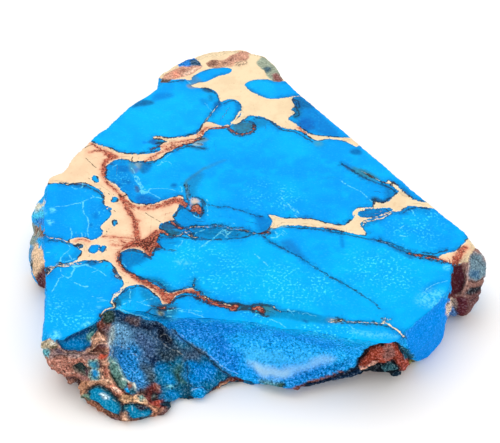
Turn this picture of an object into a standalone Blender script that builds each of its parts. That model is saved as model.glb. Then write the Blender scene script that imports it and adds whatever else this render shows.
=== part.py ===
"""A raw slab of veined turquoise, lying on its sawn underside.

It is one stone. The top is a flat sawn face, the long right-hand side is nearly plumb, and the
other sides are broken: a cove and a wide shallow bowl in front with a ridge between them, a rusty
foot at the front left, a low lump at the left, a knob of weathered rind at the right and another
at the back.

The stone is drawn by sections. Each station has a point of the top face's outline, and how far
the side stands out from that point (or is cut in, below zero) at each of the lower heights.
"""
import math

import bmesh
import bpy
from mathutils import Euler, Matrix, Vector, noise

MM = 0.001

# Driving sizes, in millimetres. The block is drawn too tall at both ends and sawn to its thickness last.
THICKNESS = 12.0
OVERCUT = 1.2

# Heights of the section offsets below, from the shoulder to the underside.
SECTION_HEIGHTS = (10.5, 8.5, 6.5, 4.5, 2.5, 1.0, 0.0)

# x, y of the top face's outline, then the offset at each section height, anticlockwise from above.
FRONT_LEFT = [
    (-29.7, -34.6, -0.1, -0.1, 0.1, -0.7, -2.4, -3.8, -4.6),
    (-27.1, -33.0, -0.7, 1.2, 1.2, 1.8, 0.5, 0.4, 0.0),
    (-24.5, -31.2, -0.6, 1.6, 3.4, 5.6, 6.3, 6.4, 5.8),
    (-22.7, -28.8, -0.2, 2.0, 4.5, 7.6, 9.2, 10.0, 9.4),
]
COVE = [
    (-21.3, -27.6, 0.2, 2.4, 5.2, 8.4, 10.4, 11.2, 10.6),
    (-18.5, -28.8, -1.0, -0.9, 0.6, 4.2, 8.2, 10.4, 9.8),
    (-15.0, -29.5, -1.8, -2.6, -1.2, 2.0, 6.0, 8.6, 8.0),
    (-11.5, -29.9, -0.7, -0.9, 0.1, 1.2, 3.8, 6.4, 5.8),
]
BOWL = [
    (-9.0, -30.1, -0.8, -1.3, -1.0, 0.6, 3.2, 5.4, 4.8),
    (-6.5, -30.4, -1.0, -1.8, -1.9, -0.6, 2.0, 4.0, 3.2),
    (-3.5, -30.8, -1.1, -2.1, -2.6, -2.2, 0.2, 2.2, 1.2),
    (-0.5, -31.2, -1.2, -2.4, -3.2, -3.2, -1.4, 2.0, 1.2),
    (3.5, -32.0, -1.2, -2.6, -3.6, -3.6, -1.6, 2.6, 1.8),
    (8.5, -33.0, -1.0, -2.2, -3.2, -3.4, -2.0, 0.9, 0.0),
    (13.5, -34.0, -0.8, -1.9, -2.8, -3.2, -3.0, -3.4, -4.2),
]
FRONT_RIGHT = [
    (17.5, -34.7, -0.6, -2.3, -3.1, -2.9, -5.2, -5.2, -5.0),
    (21.1, -34.8, -0.3, -2.4, -3.4, -3.0, -5.2, -5.0, -4.8),
]
SAWN_CORNER = [
    (22.4, -32.5, 0.2, 0.0, -0.6, -0.9, -1.4, -2.2, -2.8),
    (25.0, -29.4, 0.3, 0.4, 0.3, 0.1, -0.3, -1.1, -2.0),
    (28.0, -26.2, 0.3, 0.5, 0.5, 0.4, 0.1, -0.6, -1.8),
    (29.5, -22.4, 0.3, 0.5, 0.6, 0.5, 0.2, -0.5, -1.6),
    (30.3, -18.2, 0.2, 0.3, 0.4, 0.4, 0.2, -0.4, -1.4),
]
RIGHT_KNOB = [
    (31.4, -16.8, -0.5, -0.8, -0.9, -0.9, -0.6, -0.8, -1.6),
    (33.1, -15.2, 0.4, 1.0, 1.4, 1.4, 1.0, 0.2, -0.8),
    (33.6, -13.2, 0.8, 1.6, 2.2, 2.2, 1.7, 0.8, -0.4),
    (32.9, -11.0, 0.6, 1.2, 1.6, 1.6, 1.2, 0.4, -0.6),
    (31.1, -8.6, 0.2, 0.4, 0.6, 0.6, 0.4, 0.0, -0.8),
]
RIGHT_SIDE = [
    (28.5, -5.2, 0.0, 0.2, 0.3, 0.3, 0.2, -0.2, -1.0),
    (25.5, -1.2, 0.0, 0.1, 0.2, 0.3, 0.3, 0.0, -0.8),
    (20.5, 6.0, 0.0, 0.1, 0.2, 0.3, 0.3, 0.0, -0.7),
    (15.5, 13.0, 0.0, 0.1, 0.2, 0.3, 0.3, 0.0, -0.7),
    (10.5, 20.0, 0.0, 0.1, 0.2, 0.3, 0.3, 0.0, -0.7),
    (6.5, 25.6, 0.1, 0.3, 0.4, 0.4, 0.3, 0.0, -0.8),
]
BACK_KNOB = [
    (4.5, 28.8, 0.5, 0.9, 1.1, 1.0, 0.7, 0.1, -0.9),
    (3.1, 31.4, 1.4, 2.2, 2.6, 2.4, 2.0, 1.2, 0.2),
    (1.1, 33.8, 2.4, 3.6, 4.2, 4.0, 3.4, 2.4, 1.2),
    (-2.1, 35.2, 3.4, 4.6, 5.0, 4.8, 4.0, 2.8, 1.6),
    (-5.9, 35.0, 3.6, 4.8, 5.2, 4.8, 4.0, 2.8, 1.6),
    (-9.3, 33.6, 3.4, 4.4, 4.8, 4.4, 3.6, 2.4, 1.2),
    (-12.3, 31.8, 3.0, 4.0, 4.2, 3.8, 3.2, 2.2, 1.0),
    (-14.9, 29.2, 2.0, 2.8, 3.0, 2.8, 2.2, 1.2, 0.0),
    (-16.1, 26.2, 0.3, 0.6, 0.7, 0.6, 0.4, -0.2, -1.0),
]
LEFT_SIDE = [
    (-17.7, 24.4, 0.2, 0.4, 0.5, 0.4, 0.2, -0.2, -1.0),
    (-20.1, 21.4, 0.2, 0.4, 0.5, 0.4, 0.2, -0.2, -1.0),
    (-24.5, 15.5, 0.3, 0.6, 0.7, 0.6, 0.4, 0.0, -0.9),
    (-27.1, 11.6, 0.4, 0.8, 1.0, 0.9, 0.6, 0.1, -0.8),
    (-28.9, 8.8, 0.5, 1.0, 1.3, 1.2, 0.8, 0.2, -0.8),
    (-30.1, 5.8, 0.7, 1.4, 1.8, 1.6, 1.0, 0.3, -0.7),
    (-30.9, 3.5, 0.8, 1.6, 2.0, 1.8, 1.2, 0.4, -0.6),
    (-32.8, 2.4, 0.6, 1.4, 1.8, 1.6, 1.0, 0.2, -0.8),
    (-33.3, 0.0, 0.5, 1.0, 1.3, 1.2, 0.8, 0.2, -0.8),
    (-33.1, -5.0, 0.6, 1.2, 1.4, 1.2, 0.8, 0.2, -0.8),
    (-32.9, -10.0, 0.5, 1.0, 1.1, 0.8, 0.4, 0.0, -1.0),
    (-32.6, -15.0, 0.2, 0.3, 0.2, 0.0, -0.3, -0.8, -1.6),
    (-32.2, -20.0, 0.0, 0.0, -0.1, -0.2, -0.5, -1.0, -1.9),
    (-31.8, -25.0, 0.0, 0.1, 0.1, 0.0, -0.4, -1.2, -2.2),
    (-31.3, -29.5, 0.2, 0.7, 0.7, 0.2, -0.8, -2.0, -3.0),
    (-30.6, -32.8, 0.5, 1.2, 1.1, 0.0, -1.6, -2.8, -3.6),
]
STATIONS = (
    FRONT_LEFT + COVE + BOWL + FRONT_RIGHT + SAWN_CORNER + RIGHT_KNOB + RIGHT_SIDE + BACK_KNOB + LEFT_SIDE
)

# Rounded masses joined to the block: centre, half-lengths along x, y and z, and turn in degrees.
LUMPS = {
    "rind_lobe": ((-28.1, -31.4, 6.0), (3.4, 3.2, 2.8), (0, 0, 0)),
    "foot_left": ((-23.5, -35.2, 2.0), (3.4, 2.8, 3.0), (0, 0, -30)),
    "foot_middle": ((-19.3, -37.2, 1.4), (4.8, 2.9, 3.2), (0, 0, -10)),
    "foot_right": ((-15.5, -36.4, 0.8), (3.0, 2.8, 2.6), (0, 0, 0)),
    "left_lump_back": ((-33.5, -0.4, 5.4), (2.6, 4.6, 3.6), (0, 0, 0)),
    "left_lump_front": ((-33.1, -7.6, 4.0), (3.1, 6.2, 4.2), (0, 0, 0)),
    "rind_knob": ((32.6, -13.6, 6.2), (3.4, 4.6, 5.2), (0, 0, 8)),
    "rind_knob_low": ((32.9, -16.8, 3.8), (2.8, 3.4, 4.0), (0, 0, 0)),
}

# Hollows struck out of the block, given in the same way.
SCOOPS = {
    "chip": ((-26.1, -34.6, 10.8), (4.6, 2.4, 1.9), (0, 0, 30)),
    "cove_back": ((-16.3, -32.4, 7.4), (5.2, 4.2, 3.6), (0, 0, 0)),
    "cove_under_ridge": ((-8.7, -34.5, 5.9), (8.0, 5.0, 3.0), (0, 34, 0)),
    "hollow_under_rust": ((19.5, -34.0, 1.2), (4.8, 4.2, 2.6), (0, 0, 0)),
}

# Points of the outline between two stations, and how many of them an outward direction is taken over.
CURVE_STEPS = 7
NORMAL_REACH = 20
RING_SPACING = 0.8
VOXEL = 0.6

# Relief of the broken faces: its height and the size of its grain, coarse and fine.
COARSE_RELIEF, COARSE_SIZE = 0.45, 4.5
FINE_RELIEF, FINE_SIZE = 0.2, 1.7

# The long right side broke clean: faces turned this way, within this cosine, keep only a share of the relief.
CLEAN_SIDE = Vector((0.815, 0.58, 0.0))
CLEAN_COSINE = 0.85
CLEAN_RELIEF = 0.3
TRIANGLES_BEFORE_SAWING = 15500

# Linear red, green and blue of the stone.
TURQUOISE_BLUE = (0.0, 0.38, 0.83)
TURQUOISE_ROUGHNESS = 0.45


def closed_curve(values):
    """Points of a closed Catmull-Rom curve through the values, which are vectors of any length."""
    count = len(values)
    found = []
    for i in range(count):
        before, start = values[i - 1], values[i]
        end, after = values[(i + 1) % count], values[(i + 2) % count]
        for step in range(CURVE_STEPS):
            t = step / CURVE_STEPS
            slope = (end - before) * t
            bend = (2 * before - 5 * start + 4 * end - after) * t * t
            twist = (3 * start - before - 3 * end + after) * t * t * t
            found.append((2 * start + slope + bend + twist) / 2)
    return found


def outward(before, after):
    """The outward direction of an anticlockwise outline between two of its points."""
    along = after - before
    return Vector((along.y, -along.x)).normalized()


def offset_at(height, offsets):
    """How far a side stands out at a height, read between the section heights."""
    heights = (THICKNESS,) + SECTION_HEIGHTS
    values = (0.0,) + tuple(offsets)
    if height >= THICKNESS:
        return values[1] / (heights[1] - THICKNESS) * (height - THICKNESS)
    for high, low, at_high, at_low in zip(heights, heights[1:], values, values[1:]):
        if height >= low:
            share = (high - height) / (high - low)
            return at_high + (at_low - at_high) * share
    return values[-1] - (heights[-1] - height)


def block():
    """The block between the sawn faces, a little too tall at both ends, as a loft of its sections."""
    outline = closed_curve([Vector(row[:2]) for row in STATIONS])
    offsets = closed_curve([Vector(row[2:]) for row in STATIONS])
    count = len(outline)
    normals = [outward(outline[i - NORMAL_REACH], outline[(i + NORMAL_REACH) % count]) for i in range(count)]

    ring_count = math.ceil((THICKNESS + 2 * OVERCUT) / RING_SPACING)
    mesh = bmesh.new()
    rings = []
    for level in range(ring_count + 1):
        height = -OVERCUT + (THICKNESS + 2 * OVERCUT) * level / ring_count
        ring = []
        for point, normal, row in zip(outline, normals, offsets):
            side = point + normal * offset_at(height, row)
            ring.append(mesh.verts.new((side.x, side.y, height)))
        rings.append(ring)
    for lower, upper in zip(rings, rings[1:]):
        for i in range(count):
            j = (i + 1) % count
            mesh.faces.new((lower[i], lower[j], upper[j], upper[i]))
    mesh.faces.new(reversed(rings[0]))
    mesh.faces.new(rings[-1])
    bmesh.ops.triangulate(mesh, faces=mesh.faces)
    return object_from(mesh, "turquoise_slab")


def object_from(mesh, name):
    """A new object holding the bmesh, in the stone's own collection."""
    data = bpy.data.meshes.new(name)
    mesh.to_mesh(data)
    mesh.free()
    made = bpy.data.objects.new(name, data)
    stone_collection.objects.link(made)
    return made


def ball(name, centre, half_lengths, turn):
    """A stretched ball that is joined to the block or cut from it."""
    mesh = bmesh.new()
    angles = Euler([math.radians(angle) for angle in turn])
    place = Matrix.LocRotScale(Vector(centre), angles, Vector(half_lengths))
    bmesh.ops.create_icosphere(mesh, subdivisions=4, radius=1.0, matrix=place)
    made = object_from(mesh, name)
    stone_collection.objects.unlink(made)
    cutter_collection.objects.link(made)
    made.hide_render = True
    made.display_type = "WIRE"
    return made


def join_and_cut(stone):
    """An even mesh over the loft, then the lumps joined and the scoops cut, and an even mesh again."""
    add_even_mesh(stone, "loft_mesh")
    for operation, balls in (("UNION", LUMPS), ("DIFFERENCE", SCOOPS)):
        for name, (centre, half_lengths, turn) in balls.items():
            boolean = stone.modifiers.new(name, "BOOLEAN")
            boolean.operation = operation
            boolean.object = ball(name, centre, half_lengths, turn)
    add_even_mesh(stone, "even_mesh")


def add_even_mesh(stone, name):
    """A voxel remesh modifier."""
    remesh = stone.modifiers.new(name, "REMESH")
    remesh.mode = "VOXEL"
    remesh.voxel_size = VOXEL


def apply_modifiers(stone):
    """Replaces the object's mesh by the evaluated one."""
    bpy.context.view_layer.update()
    graph = bpy.context.evaluated_depsgraph_get()
    made = bpy.data.meshes.new_from_object(stone.evaluated_get(graph))
    stone.modifiers.clear()
    stone.data = made


def roughen(stone):
    """Moves each point along its normal by two scales of noise, as on broken stone."""
    mesh = bmesh.new()
    mesh.from_mesh(stone.data)
    mesh.normal_update()
    moves = []
    for vert in mesh.verts:
        coarse = noise.noise(vert.co / COARSE_SIZE) + noise.noise(vert.co * 2 / COARSE_SIZE) / 2
        fine = noise.noise(vert.co / FINE_SIZE)
        share = CLEAN_RELIEF if vert.normal.dot(CLEAN_SIDE) > CLEAN_COSINE else 1.0
        moves.append(vert.normal * share * (COARSE_RELIEF * coarse + FINE_RELIEF * fine))
    for vert, move in zip(mesh.verts, moves):
        vert.co += move
    mesh.to_mesh(stone.data)
    mesh.free()


def thin_out(stone):
    """Fewer triangles, where the surface is nearly flat."""
    count = sum(len(face.vertices) - 2 for face in stone.data.polygons)
    decimate = stone.modifiers.new("thin_out", "DECIMATE")
    decimate.ratio = min(1.0, TRIANGLES_BEFORE_SAWING / count)
    apply_modifiers(stone)


def saw_flat(stone):
    """Cuts the top face and the underside flat, and scales the stone to metres."""
    mesh = bmesh.new()
    mesh.from_mesh(stone.data)
    for height, side in ((THICKNESS, 1), (0.0, -1)):
        cut = bmesh.ops.bisect_plane(
            mesh,
            geom=mesh.verts[:] + mesh.edges[:] + mesh.faces[:],
            dist=1e-5,
            plane_co=(0, 0, height),
            plane_no=(0, 0, side),
            clear_outer=True,
        )
        rim = [item for item in cut["geom_cut"] if isinstance(item, bmesh.types.BMEdge)]
        bmesh.ops.contextual_create(mesh, geom=rim)
    bmesh.ops.scale(mesh, verts=mesh.verts, vec=(MM, MM, MM))
    bmesh.ops.triangulate(mesh, faces=[face for face in mesh.faces if len(face.verts) > 4])
    bmesh.ops.recalc_face_normals(mesh, faces=mesh.faces)
    mesh.to_mesh(stone.data)
    mesh.free()


def turquoise():
    """The stone's blue, for the whole piece."""
    material = bpy.data.materials.new("turquoise")
    material.use_nodes = True
    shader = material.node_tree.nodes["Principled BSDF"]
    shader.inputs["Base Color"].default_value = (*TURQUOISE_BLUE, 1.0)
    shader.inputs["Roughness"].default_value = TURQUOISE_ROUGHNESS
    shader.inputs["Metallic"].default_value = 0.0
    return material


for old in list(bpy.data.objects):
    bpy.data.objects.remove(old)
stone_collection = bpy.data.collections.new("raw_turquoise_slab")
cutter_collection = bpy.data.collections.new("cutters")
bpy.context.scene.collection.children.link(stone_collection)
bpy.context.scene.collection.children.link(cutter_collection)

slab = block()
join_and_cut(slab)
apply_modifiers(slab)
roughen(slab)
thin_out(slab)
saw_flat(slab)
slab.data.materials.clear()
slab.data.materials.append(turquoise())
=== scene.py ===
import math

import bmesh
import bpy
import numpy as np
from mathutils import Matrix, Vector, noise
from mathutils.kdtree import KDTree


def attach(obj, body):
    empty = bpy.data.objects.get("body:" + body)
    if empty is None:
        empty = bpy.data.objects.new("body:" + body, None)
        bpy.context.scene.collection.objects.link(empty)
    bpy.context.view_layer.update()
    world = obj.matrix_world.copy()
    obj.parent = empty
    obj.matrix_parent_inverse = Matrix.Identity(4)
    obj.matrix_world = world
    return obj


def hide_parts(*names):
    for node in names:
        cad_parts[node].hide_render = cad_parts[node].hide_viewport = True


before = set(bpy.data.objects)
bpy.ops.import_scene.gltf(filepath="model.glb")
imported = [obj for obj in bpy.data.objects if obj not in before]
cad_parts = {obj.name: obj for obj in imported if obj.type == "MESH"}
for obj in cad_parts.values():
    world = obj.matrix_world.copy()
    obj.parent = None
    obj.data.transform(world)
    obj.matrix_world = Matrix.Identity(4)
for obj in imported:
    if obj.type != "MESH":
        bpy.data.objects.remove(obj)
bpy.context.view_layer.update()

# The sawn slab
# One raw piece of turquoise. A diamond saw cut its top and underside flat, and its sides are broken rock
# and weathered rind. The stone's own form is the CAD solid's, cut finer here so that its sides can be
# worn smooth and then roughened with grain.
MM = 0.001
SAME_SPOT = 0.005
THICKNESS = 12.0
GRAIN_OF_MESH = 0.3
CUT_DEPTH = 0.17
SMOOTHING_ROUNDS = 7
SMOOTHING_SHARE = 0.5
UNDERSIDE_THINNING = 0.74

cad_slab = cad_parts["turquoise_slab"]


def joined(mesh):
    """A copy of the mesh in which vertices at the same spot are one."""
    work = bmesh.new()
    work.from_mesh(mesh)
    bmesh.ops.remove_doubles(work, verts=work.verts, dist=SAME_SPOT * MM)
    result = bpy.data.meshes.new("joined")
    work.to_mesh(result)
    work.free()
    return result


def after_modifier(mesh, kind, settings, group=None):
    """The mesh as one modifier leaves it. group is one weight for each vertex."""
    carrier = bpy.data.objects.new("carrier", mesh)
    bpy.context.scene.collection.objects.link(carrier)
    if group is not None:
        weights = carrier.vertex_groups.new(name="share")
        weights.add([int(index) for index in np.nonzero(group)[0]], 1.0, "REPLACE")
    modifier = carrier.modifiers.new("step", kind)
    for name, value in settings.items():
        setattr(modifier, name, value)
    bpy.context.view_layer.update()
    evaluated = carrier.evaluated_get(bpy.context.evaluated_depsgraph_get())
    result = bpy.data.meshes.new_from_object(evaluated)
    bpy.data.objects.remove(carrier)
    return result


def places(mesh):
    """Every vertex of the mesh, in millimetres."""
    flat = np.empty(len(mesh.vertices) * 3)
    mesh.vertices.foreach_get("co", flat)
    return flat.reshape(-1, 3) / MM


def set_places(mesh, points):
    """Moves every vertex of the mesh to its point, in millimetres."""
    mesh.vertices.foreach_set("co", (points * MM).ravel())
    mesh.update()


def worn(points, edges, free):
    """The points after rounds of moving towards the middle of their neighbours, as far as free says."""
    count = len(points)
    neighbours = np.bincount(edges.ravel(), minlength=count)[:, None]
    for _ in range(SMOOTHING_ROUNDS):
        total = np.zeros_like(points)
        for axis in range(3):
            total[:, axis] += np.bincount(edges[:, 0], points[edges[:, 1], axis], count)
            total[:, axis] += np.bincount(edges[:, 1], points[edges[:, 0], axis], count)
        points = points + (total / neighbours - points) * SMOOTHING_SHARE * free[:, None]
    return points


stone_mesh = after_modifier(joined(cad_slab.data), "REMESH",
                            {"mode": "VOXEL", "voxel_size": GRAIN_OF_MESH * MM, "adaptivity": 0.0})
points = places(stone_mesh)
edge_ends = np.empty(len(stone_mesh.edges) * 2, np.int32)
stone_mesh.edges.foreach_get("vertices", edge_ends)
on_face = points[:, 2] > THICKNESS - CUT_DEPTH
on_underside = points[:, 2] < CUT_DEPTH
points = worn(points, edge_ends.reshape(-1, 2), (~(on_face | on_underside)).astype(float))
points[on_face, 2] = THICKNESS
points[on_underside, 2] = 0.0
set_places(stone_mesh, points)
stone_mesh = after_modifier(stone_mesh, "DECIMATE",
                            {"ratio": UNDERSIDE_THINNING, "vertex_group": "share"}, on_underside)
stone_mesh = joined(stone_mesh)

# The drawing of the veins
# Cream and rust matrix fills the cracks between the blue. Its lines and outlines were plotted on the
# photograph, and are laid on the plane of the sawn face. The sides take them on along the same line of
# sight, so that each patch lies where the photograph shows it.
CAMERA_TILT = math.radians(42)
CAMERA_DISTANCE = 330.0
CAMERA_TARGET = np.array((0.5, -7.0, 8.0))
# in dots of the photograph: the lens, the picture, and how far off its middle the lens looks
FOCAL_PIXELS = 2079.0
PICTURE_SIZE = np.array((500.0, 443.0))
AXIS_OFF_MIDDLE = np.array((8.0, 14.0))
PLAN_ZERO = np.array((0.5, -1.0))
DECIMALS_KEPT = 1
ALMOST_NOTHING = 1e-9
SIDEWAYS = np.array((1.0, 0.0, 0.0))

ahead = np.array((0.0, math.cos(CAMERA_TILT), -math.sin(CAMERA_TILT)))
upward = np.array((0.0, math.sin(CAMERA_TILT), math.cos(CAMERA_TILT)))
camera_at = CAMERA_TARGET - ahead * CAMERA_DISTANCE


def spots(text):
    """The points in mm on the sawn face of a line or outline that was plotted.

    A pair is a place on the photograph, across and down in its dots. Where 'mm' comes first, it is mm on a
    plan of the face. A dot is about 0.16 mm, so the points are kept to a tenth of a millimetre.
    """
    pairs = [[float(number) for number in pair.split(",")] for pair in text.removeprefix("mm ").split()]
    if text.startswith("mm "):
        return np.round(pairs + PLAN_ZERO, DECIMALS_KEPT)
    across, down = ((pairs - PICTURE_SIZE / 2 - AXIS_OFF_MIDDLE) / FOCAL_PIXELS).T[:, :, None]
    rays = ahead - down * upward + across * SIDEWAYS
    face_spots = camera_at[:2] + rays[:, :2] * (THICKNESS - camera_at[2]) / rays[:, 2:]
    return np.round(face_spots, DECIMALS_KEPT)


def on_drawing(points):
    """Where each point of the stone lies on the drawing, carried up along the line of sight."""
    share = (THICKNESS - camera_at[2]) / (points[:, 2] - camera_at[2])
    return camera_at[:2] + (points[:, :2] - camera_at[:2]) * share[:, None]


def offsets_to(spot, start, end):
    """The way from each spot to the nearest point between start and end."""
    along = end - start
    share = np.clip((spot - start) @ along / max(along @ along, ALMOST_NOTHING), 0.0, 1.0)
    return start + share[:, None] * along - spot, share


FAR = 6.0


def around(spot, outline, reach):
    """Which spots lie within reach of the outline's box."""
    low = outline.min(axis=0) - reach
    high = outline.max(axis=0) + reach
    return np.nonzero(((spot > low) & (spot < high)).all(axis=1))[0]


def depth_inside(all_spots, outline):
    """How far each spot lies inside the outline, in mm. Outside it is below zero."""
    depth = np.full(len(all_spots), -FAR)
    close = around(all_spots, outline, FAR)
    spot = all_spots[close]
    nearest = np.full(len(spot), FAR)
    inside = np.zeros(len(spot), bool)
    for start, end in zip(outline, np.roll(outline, -1, axis=0)):
        way, _ = offsets_to(spot, start, end)
        nearest = np.minimum(nearest, np.hypot(way[:, 0], way[:, 1]))
        crosses = (start[1] > spot[:, 1]) != (end[1] > spot[:, 1])
        climb = end[1] - start[1] or ALMOST_NOTHING
        reach = start[0] + (spot[:, 1] - start[1]) * (end[0] - start[0]) / climb
        inside ^= crosses & (spot[:, 0] < reach)
    depth[close] = np.where(inside, nearest, -nearest)
    return depth


def rounded(outline, steps=3, closed=True):
    """A smooth curve through the drawn points."""
    count = len(outline)
    result = []
    for index in range(count if closed else count - 1):
        if closed:
            a, b, c, d = (outline[(index + shift) % count] for shift in (-1, 0, 1, 2))
        else:
            a, b, c, d = (outline[min(max(index + shift, 0), count - 1)] for shift in (-1, 0, 1, 2))
        for step in range(steps):
            t = step / steps
            result.append(0.5 * (2 * b + (c - a) * t + (2 * a - 5 * b + 4 * c - d) * t * t
                                 + (3 * b - a - 3 * c + d) * t ** 3))
    if not closed:
        result.append(outline[-1])
    return np.array(result)


def areas(spot, outlines):
    """How far each spot lies inside any of the outlines."""
    return np.max([depth_inside(spot, rounded(spots(text))) for text in outlines], axis=0)


LINE_REACH = 2.0


def lines(spot, drawn):
    """The way from each spot to the nearest drawn line, and that line's half width there.

    drawn holds the half widths at the start and at the end, and the lines, with a slash between two.
    """
    best = np.full(len(spot), LINE_REACH)
    result = np.zeros((len(spot), 3))
    result[:, 0] = FAR
    for first, last, texts in drawn:
        for text in texts.split(" / "):
            curve = rounded(spots(text), closed=False)
            close = around(spot, curve, LINE_REACH)
            count = len(curve) - 1
            for index in range(count):
                way, share = offsets_to(spot[close], curve[index], curve[index + 1])
                width = first + (last - first) * (index + share) / count
                gap = np.hypot(way[:, 0], way[:, 1]) - width
                nearer = gap < best[close]
                chosen = close[nearer]
                best[chosen] = gap[nearer]
                result[chosen, :2] = way[nearer]
                result[chosen, 2] = width[nearer]
    return result


def rise(values, low, high):
    """0 below low, 1 above high, smooth between."""
    share = np.clip((values - low) / (high - low), 0.0, 1.0)
    return share * share * (3 - 2 * share)


def linear(colour):
    """A colour given as on a paint card, 0 to 255, as the light it reflects."""
    share = np.array(colour, float) / 255
    return np.where(share <= 0.04045, share / 12.92, ((share + 0.055) / 1.055) ** 2.4)


def soft_areas(spot, drawn):
    """How strongly each spot is covered by drawn areas of (strength, softness, outline)."""
    cover = np.zeros(len(spot))
    for strength, softness, text in drawn:
        depth = depth_inside(spot, rounded(spots(text)))
        cover = np.maximum(cover, strength * rise(depth, -softness, softness))
    return cover


CREAM = [
    # the broad back vein with its branch to the right edge, and the whole back knob
    "mm 17.0,12.6 15.1,13.6 13.1,13.7 9.8,14.2 8.25,15.0 6.2,17.4 5.2,18.2 5.05,18.9 6.2,20.1 5.6,21.0"
    " 6.2,22.0 5.9,22.8 5.75,23.9 6.6,24.5 8.2,24.6 11.0,27.0 9.0,44.0 -22.0,44.0 -22.0,30.0 -16.8,29.6"
    " -14.8,29.1 -12.8,29.3 -11.9,28.9 -11.4,27.6 -10.7,27.0 -9.9,26.9 -8.6,26.9 -7.6,26.3 -6.9,25.3"
    " -6.6,24.2 -6.3,23.0 -5.4,23.6 -4.4,23.8 -3.4,23.3 -2.9,22.3 -2.8,20.9 -3.0,19.4 -3.8,18.2"
    " -4.6,17.6 -3.8,17.0 -2.6,18.0 -2.0,18.9 -1.3,19.4 0.0,19.2 1.4,18.7 3.7,16.5 4.8,15.9 6.2,15.6"
    " 7.6,14.6 8.7,13.5 9.9,12.8 10.9,13.25 12.6,13.1 14.2,12.7 16.2,11.2",
    # the left matrix: the back left corner, the corridor between the left blocks, and the curved arms
    "mm -27.2,12.6 -24.1,10.9 -23.0,10.0 -21.6,9.5 -20.2,9.4 -18.8,9.45 -17.4,9.7 -16.1,10.4 -16.2,11.4"
    " -15.8,12.1 -15.0,12.6 -16.0,13.2 -17.0,13.4 -17.2,13.9 -16.1,13.9 -14.7,13.5 -12.2,13.9 -10.5,14.6"
    " -9.7,15.6 -8.7,17.8 -6.1,16.9 -5.0,17.2 -4.5,16.6 -5.5,16.3 -7.7,16.0 -8.6,14.9 -9.1,13.9"
    " -10.2,13.1 -10.6,12.1 -11.9,11.9 -13.0,11.2 -14.1,10.0 -15.0,9.5 -15.8,8.4 -16.9,7.6 -18.0,7.4"
    " -19.1,7.6 -20.2,7.4 -21.3,8.0 -22.4,8.0 -23.3,7.6 -24.1,6.7 -24.8,5.6 -24.7,4.2 -24.1,3.1"
    " -23.0,2.1 -22.2,1.2 -21.7,0.3 -21.0,-0.5 -20.1,-2.2 -19.2,-2.8 -18.2,-3.0 -17.0,-2.9 -16.0,-2.5"
    " -14.3,-1.5 -13.6,-1.2 -12.6,-0.9 -11.9,-1.1 -11.7,-2.0 -12.4,-3.4 -12.8,-4.6 -13.4,-5.9 -12.9,-6.9"
    " -15.1,-7.6 -15.4,-8.5 -15.2,-9.3 -15.4,-10.6 -15.7,-11.7 -15.8,-13.1 -16.2,-14.5 -16.6,-15.0"
    " -17.4,-14.6 -18.8,-13.7 -20.2,-13.8 -21.2,-14.7 -21.5,-16.0 -21.0,-17.0 -20.4,-18.0 -19.5,-19.1"
    " -18.2,-20.0 -15.8,-21.3 -13.7,-23.1 -12.4,-22.9 -11.0,-22.4 -10.2,-22.2 -9.6,-22.4 -8.2,-23.8"
    " -7.2,-24.6 -4.9,-25.6 -3.4,-26.0 -4.4,-26.5 -5.5,-25.9 -7.2,-25.1 -8.5,-24.3 -9.2,-23.5"
    " -10.5,-23.3 -11.8,-23.9 -12.5,-24.6 -12.9,-25.4 -13.6,-26.0 -14.5,-25.9 -14.9,-24.8 -15.5,-23.9"
    " -17.2,-22.1 -18.3,-21.7 -19.4,-21.9 -20.5,-22.7 -21.0,-23.5 -21.4,-24.4 -21.8,-24.3 -20.8,-22.4"
    " -20.4,-21.4 -20.9,-20.0 -21.6,-18.8 -22.1,-17.6 -22.8,-16.6 -23.8,-16.1 -25.0,-16.3 -25.8,-16.0"
    " -27.4,-16.4 -28.3,-16.9 -29.7,-17.2 -30.6,-17.1 -29.0,-16.8 -28.0,-16.1 -27.5,-15.2 -27.2,-14.3"
    " -27.6,-13.6 -28.6,-12.6 -29.4,-11.9 -29.3,-11.4 -28.7,-11.0 -27.9,-10.7 -26.9,-10.8 -26.2,-11.2"
    " -25.6,-11.4 -24.9,-10.9 -24.4,-10.0 -24.3,-9.2 -24.7,-8.3 -23.5,-6.4 -23.2,-5.5 -23.4,-4.6"
    " -24.0,-3.9 -24.4,-3.0 -24.5,-1.7 -24.7,-0.5 -25.0,0.0 -25.9,0.9 -28.0,2.3 -29.8,2.0 -31.5,2.3"
    " -33.5,2.0 -38.0,2.6 -38.0,8.0 -32.0,15.0 -28.5,14.2",
    # the middle vein and its fork to the right edge
    "mm 1.6,-5.5 2.7,-5.7 4.1,-6.4 6.3,-6.4 8.8,-6.7 11.3,-7.7 13.5,-7.95 15.2,-6.0 14.9,-5.3 15.2,-4.4"
    " 16.0,-3.9 18.2,-3.7 18.4,-2.8 18.8,-2.4 19.6,-2.8 21.0,-2.0 21.6,-1.0 22.3,-0.5 22.2,0.5 21.6,1.4"
    " 20.8,2.2 20.9,2.8 22.0,1.9 24.1,-1.2 25.2,-2.1 26.8,-2.6 29.0,-3.6 30.0,-4.6 27.6,-4.0 24.3,-3.5"
    " 23.2,-3.9 22.4,-4.8 21.1,-4.9 20.2,-5.6 19.1,-6.1 17.4,-6.55 16.4,-7.2 16.1,-8.1 16.7,-10.4"
    " 11.6,-9.05 7.1,-8.25 5.2,-8.1 3.8,-8.1 2.7,-8.8 2.0,-8.6 2.2,-7.2 1.9,-6.2",
    # the corner of matrix at the right knob
    "mm 27.7,-15.15 30.0,-14.1 30.9,-13.5 31.4,-12.6 32.1,-12.0 34.0,-10.0 39.0,-14.0 35.0,-17.5"
    " 31.6,-16.9 31.0,-17.2 29.75,-17.0 27.7,-15.85",
]
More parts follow.
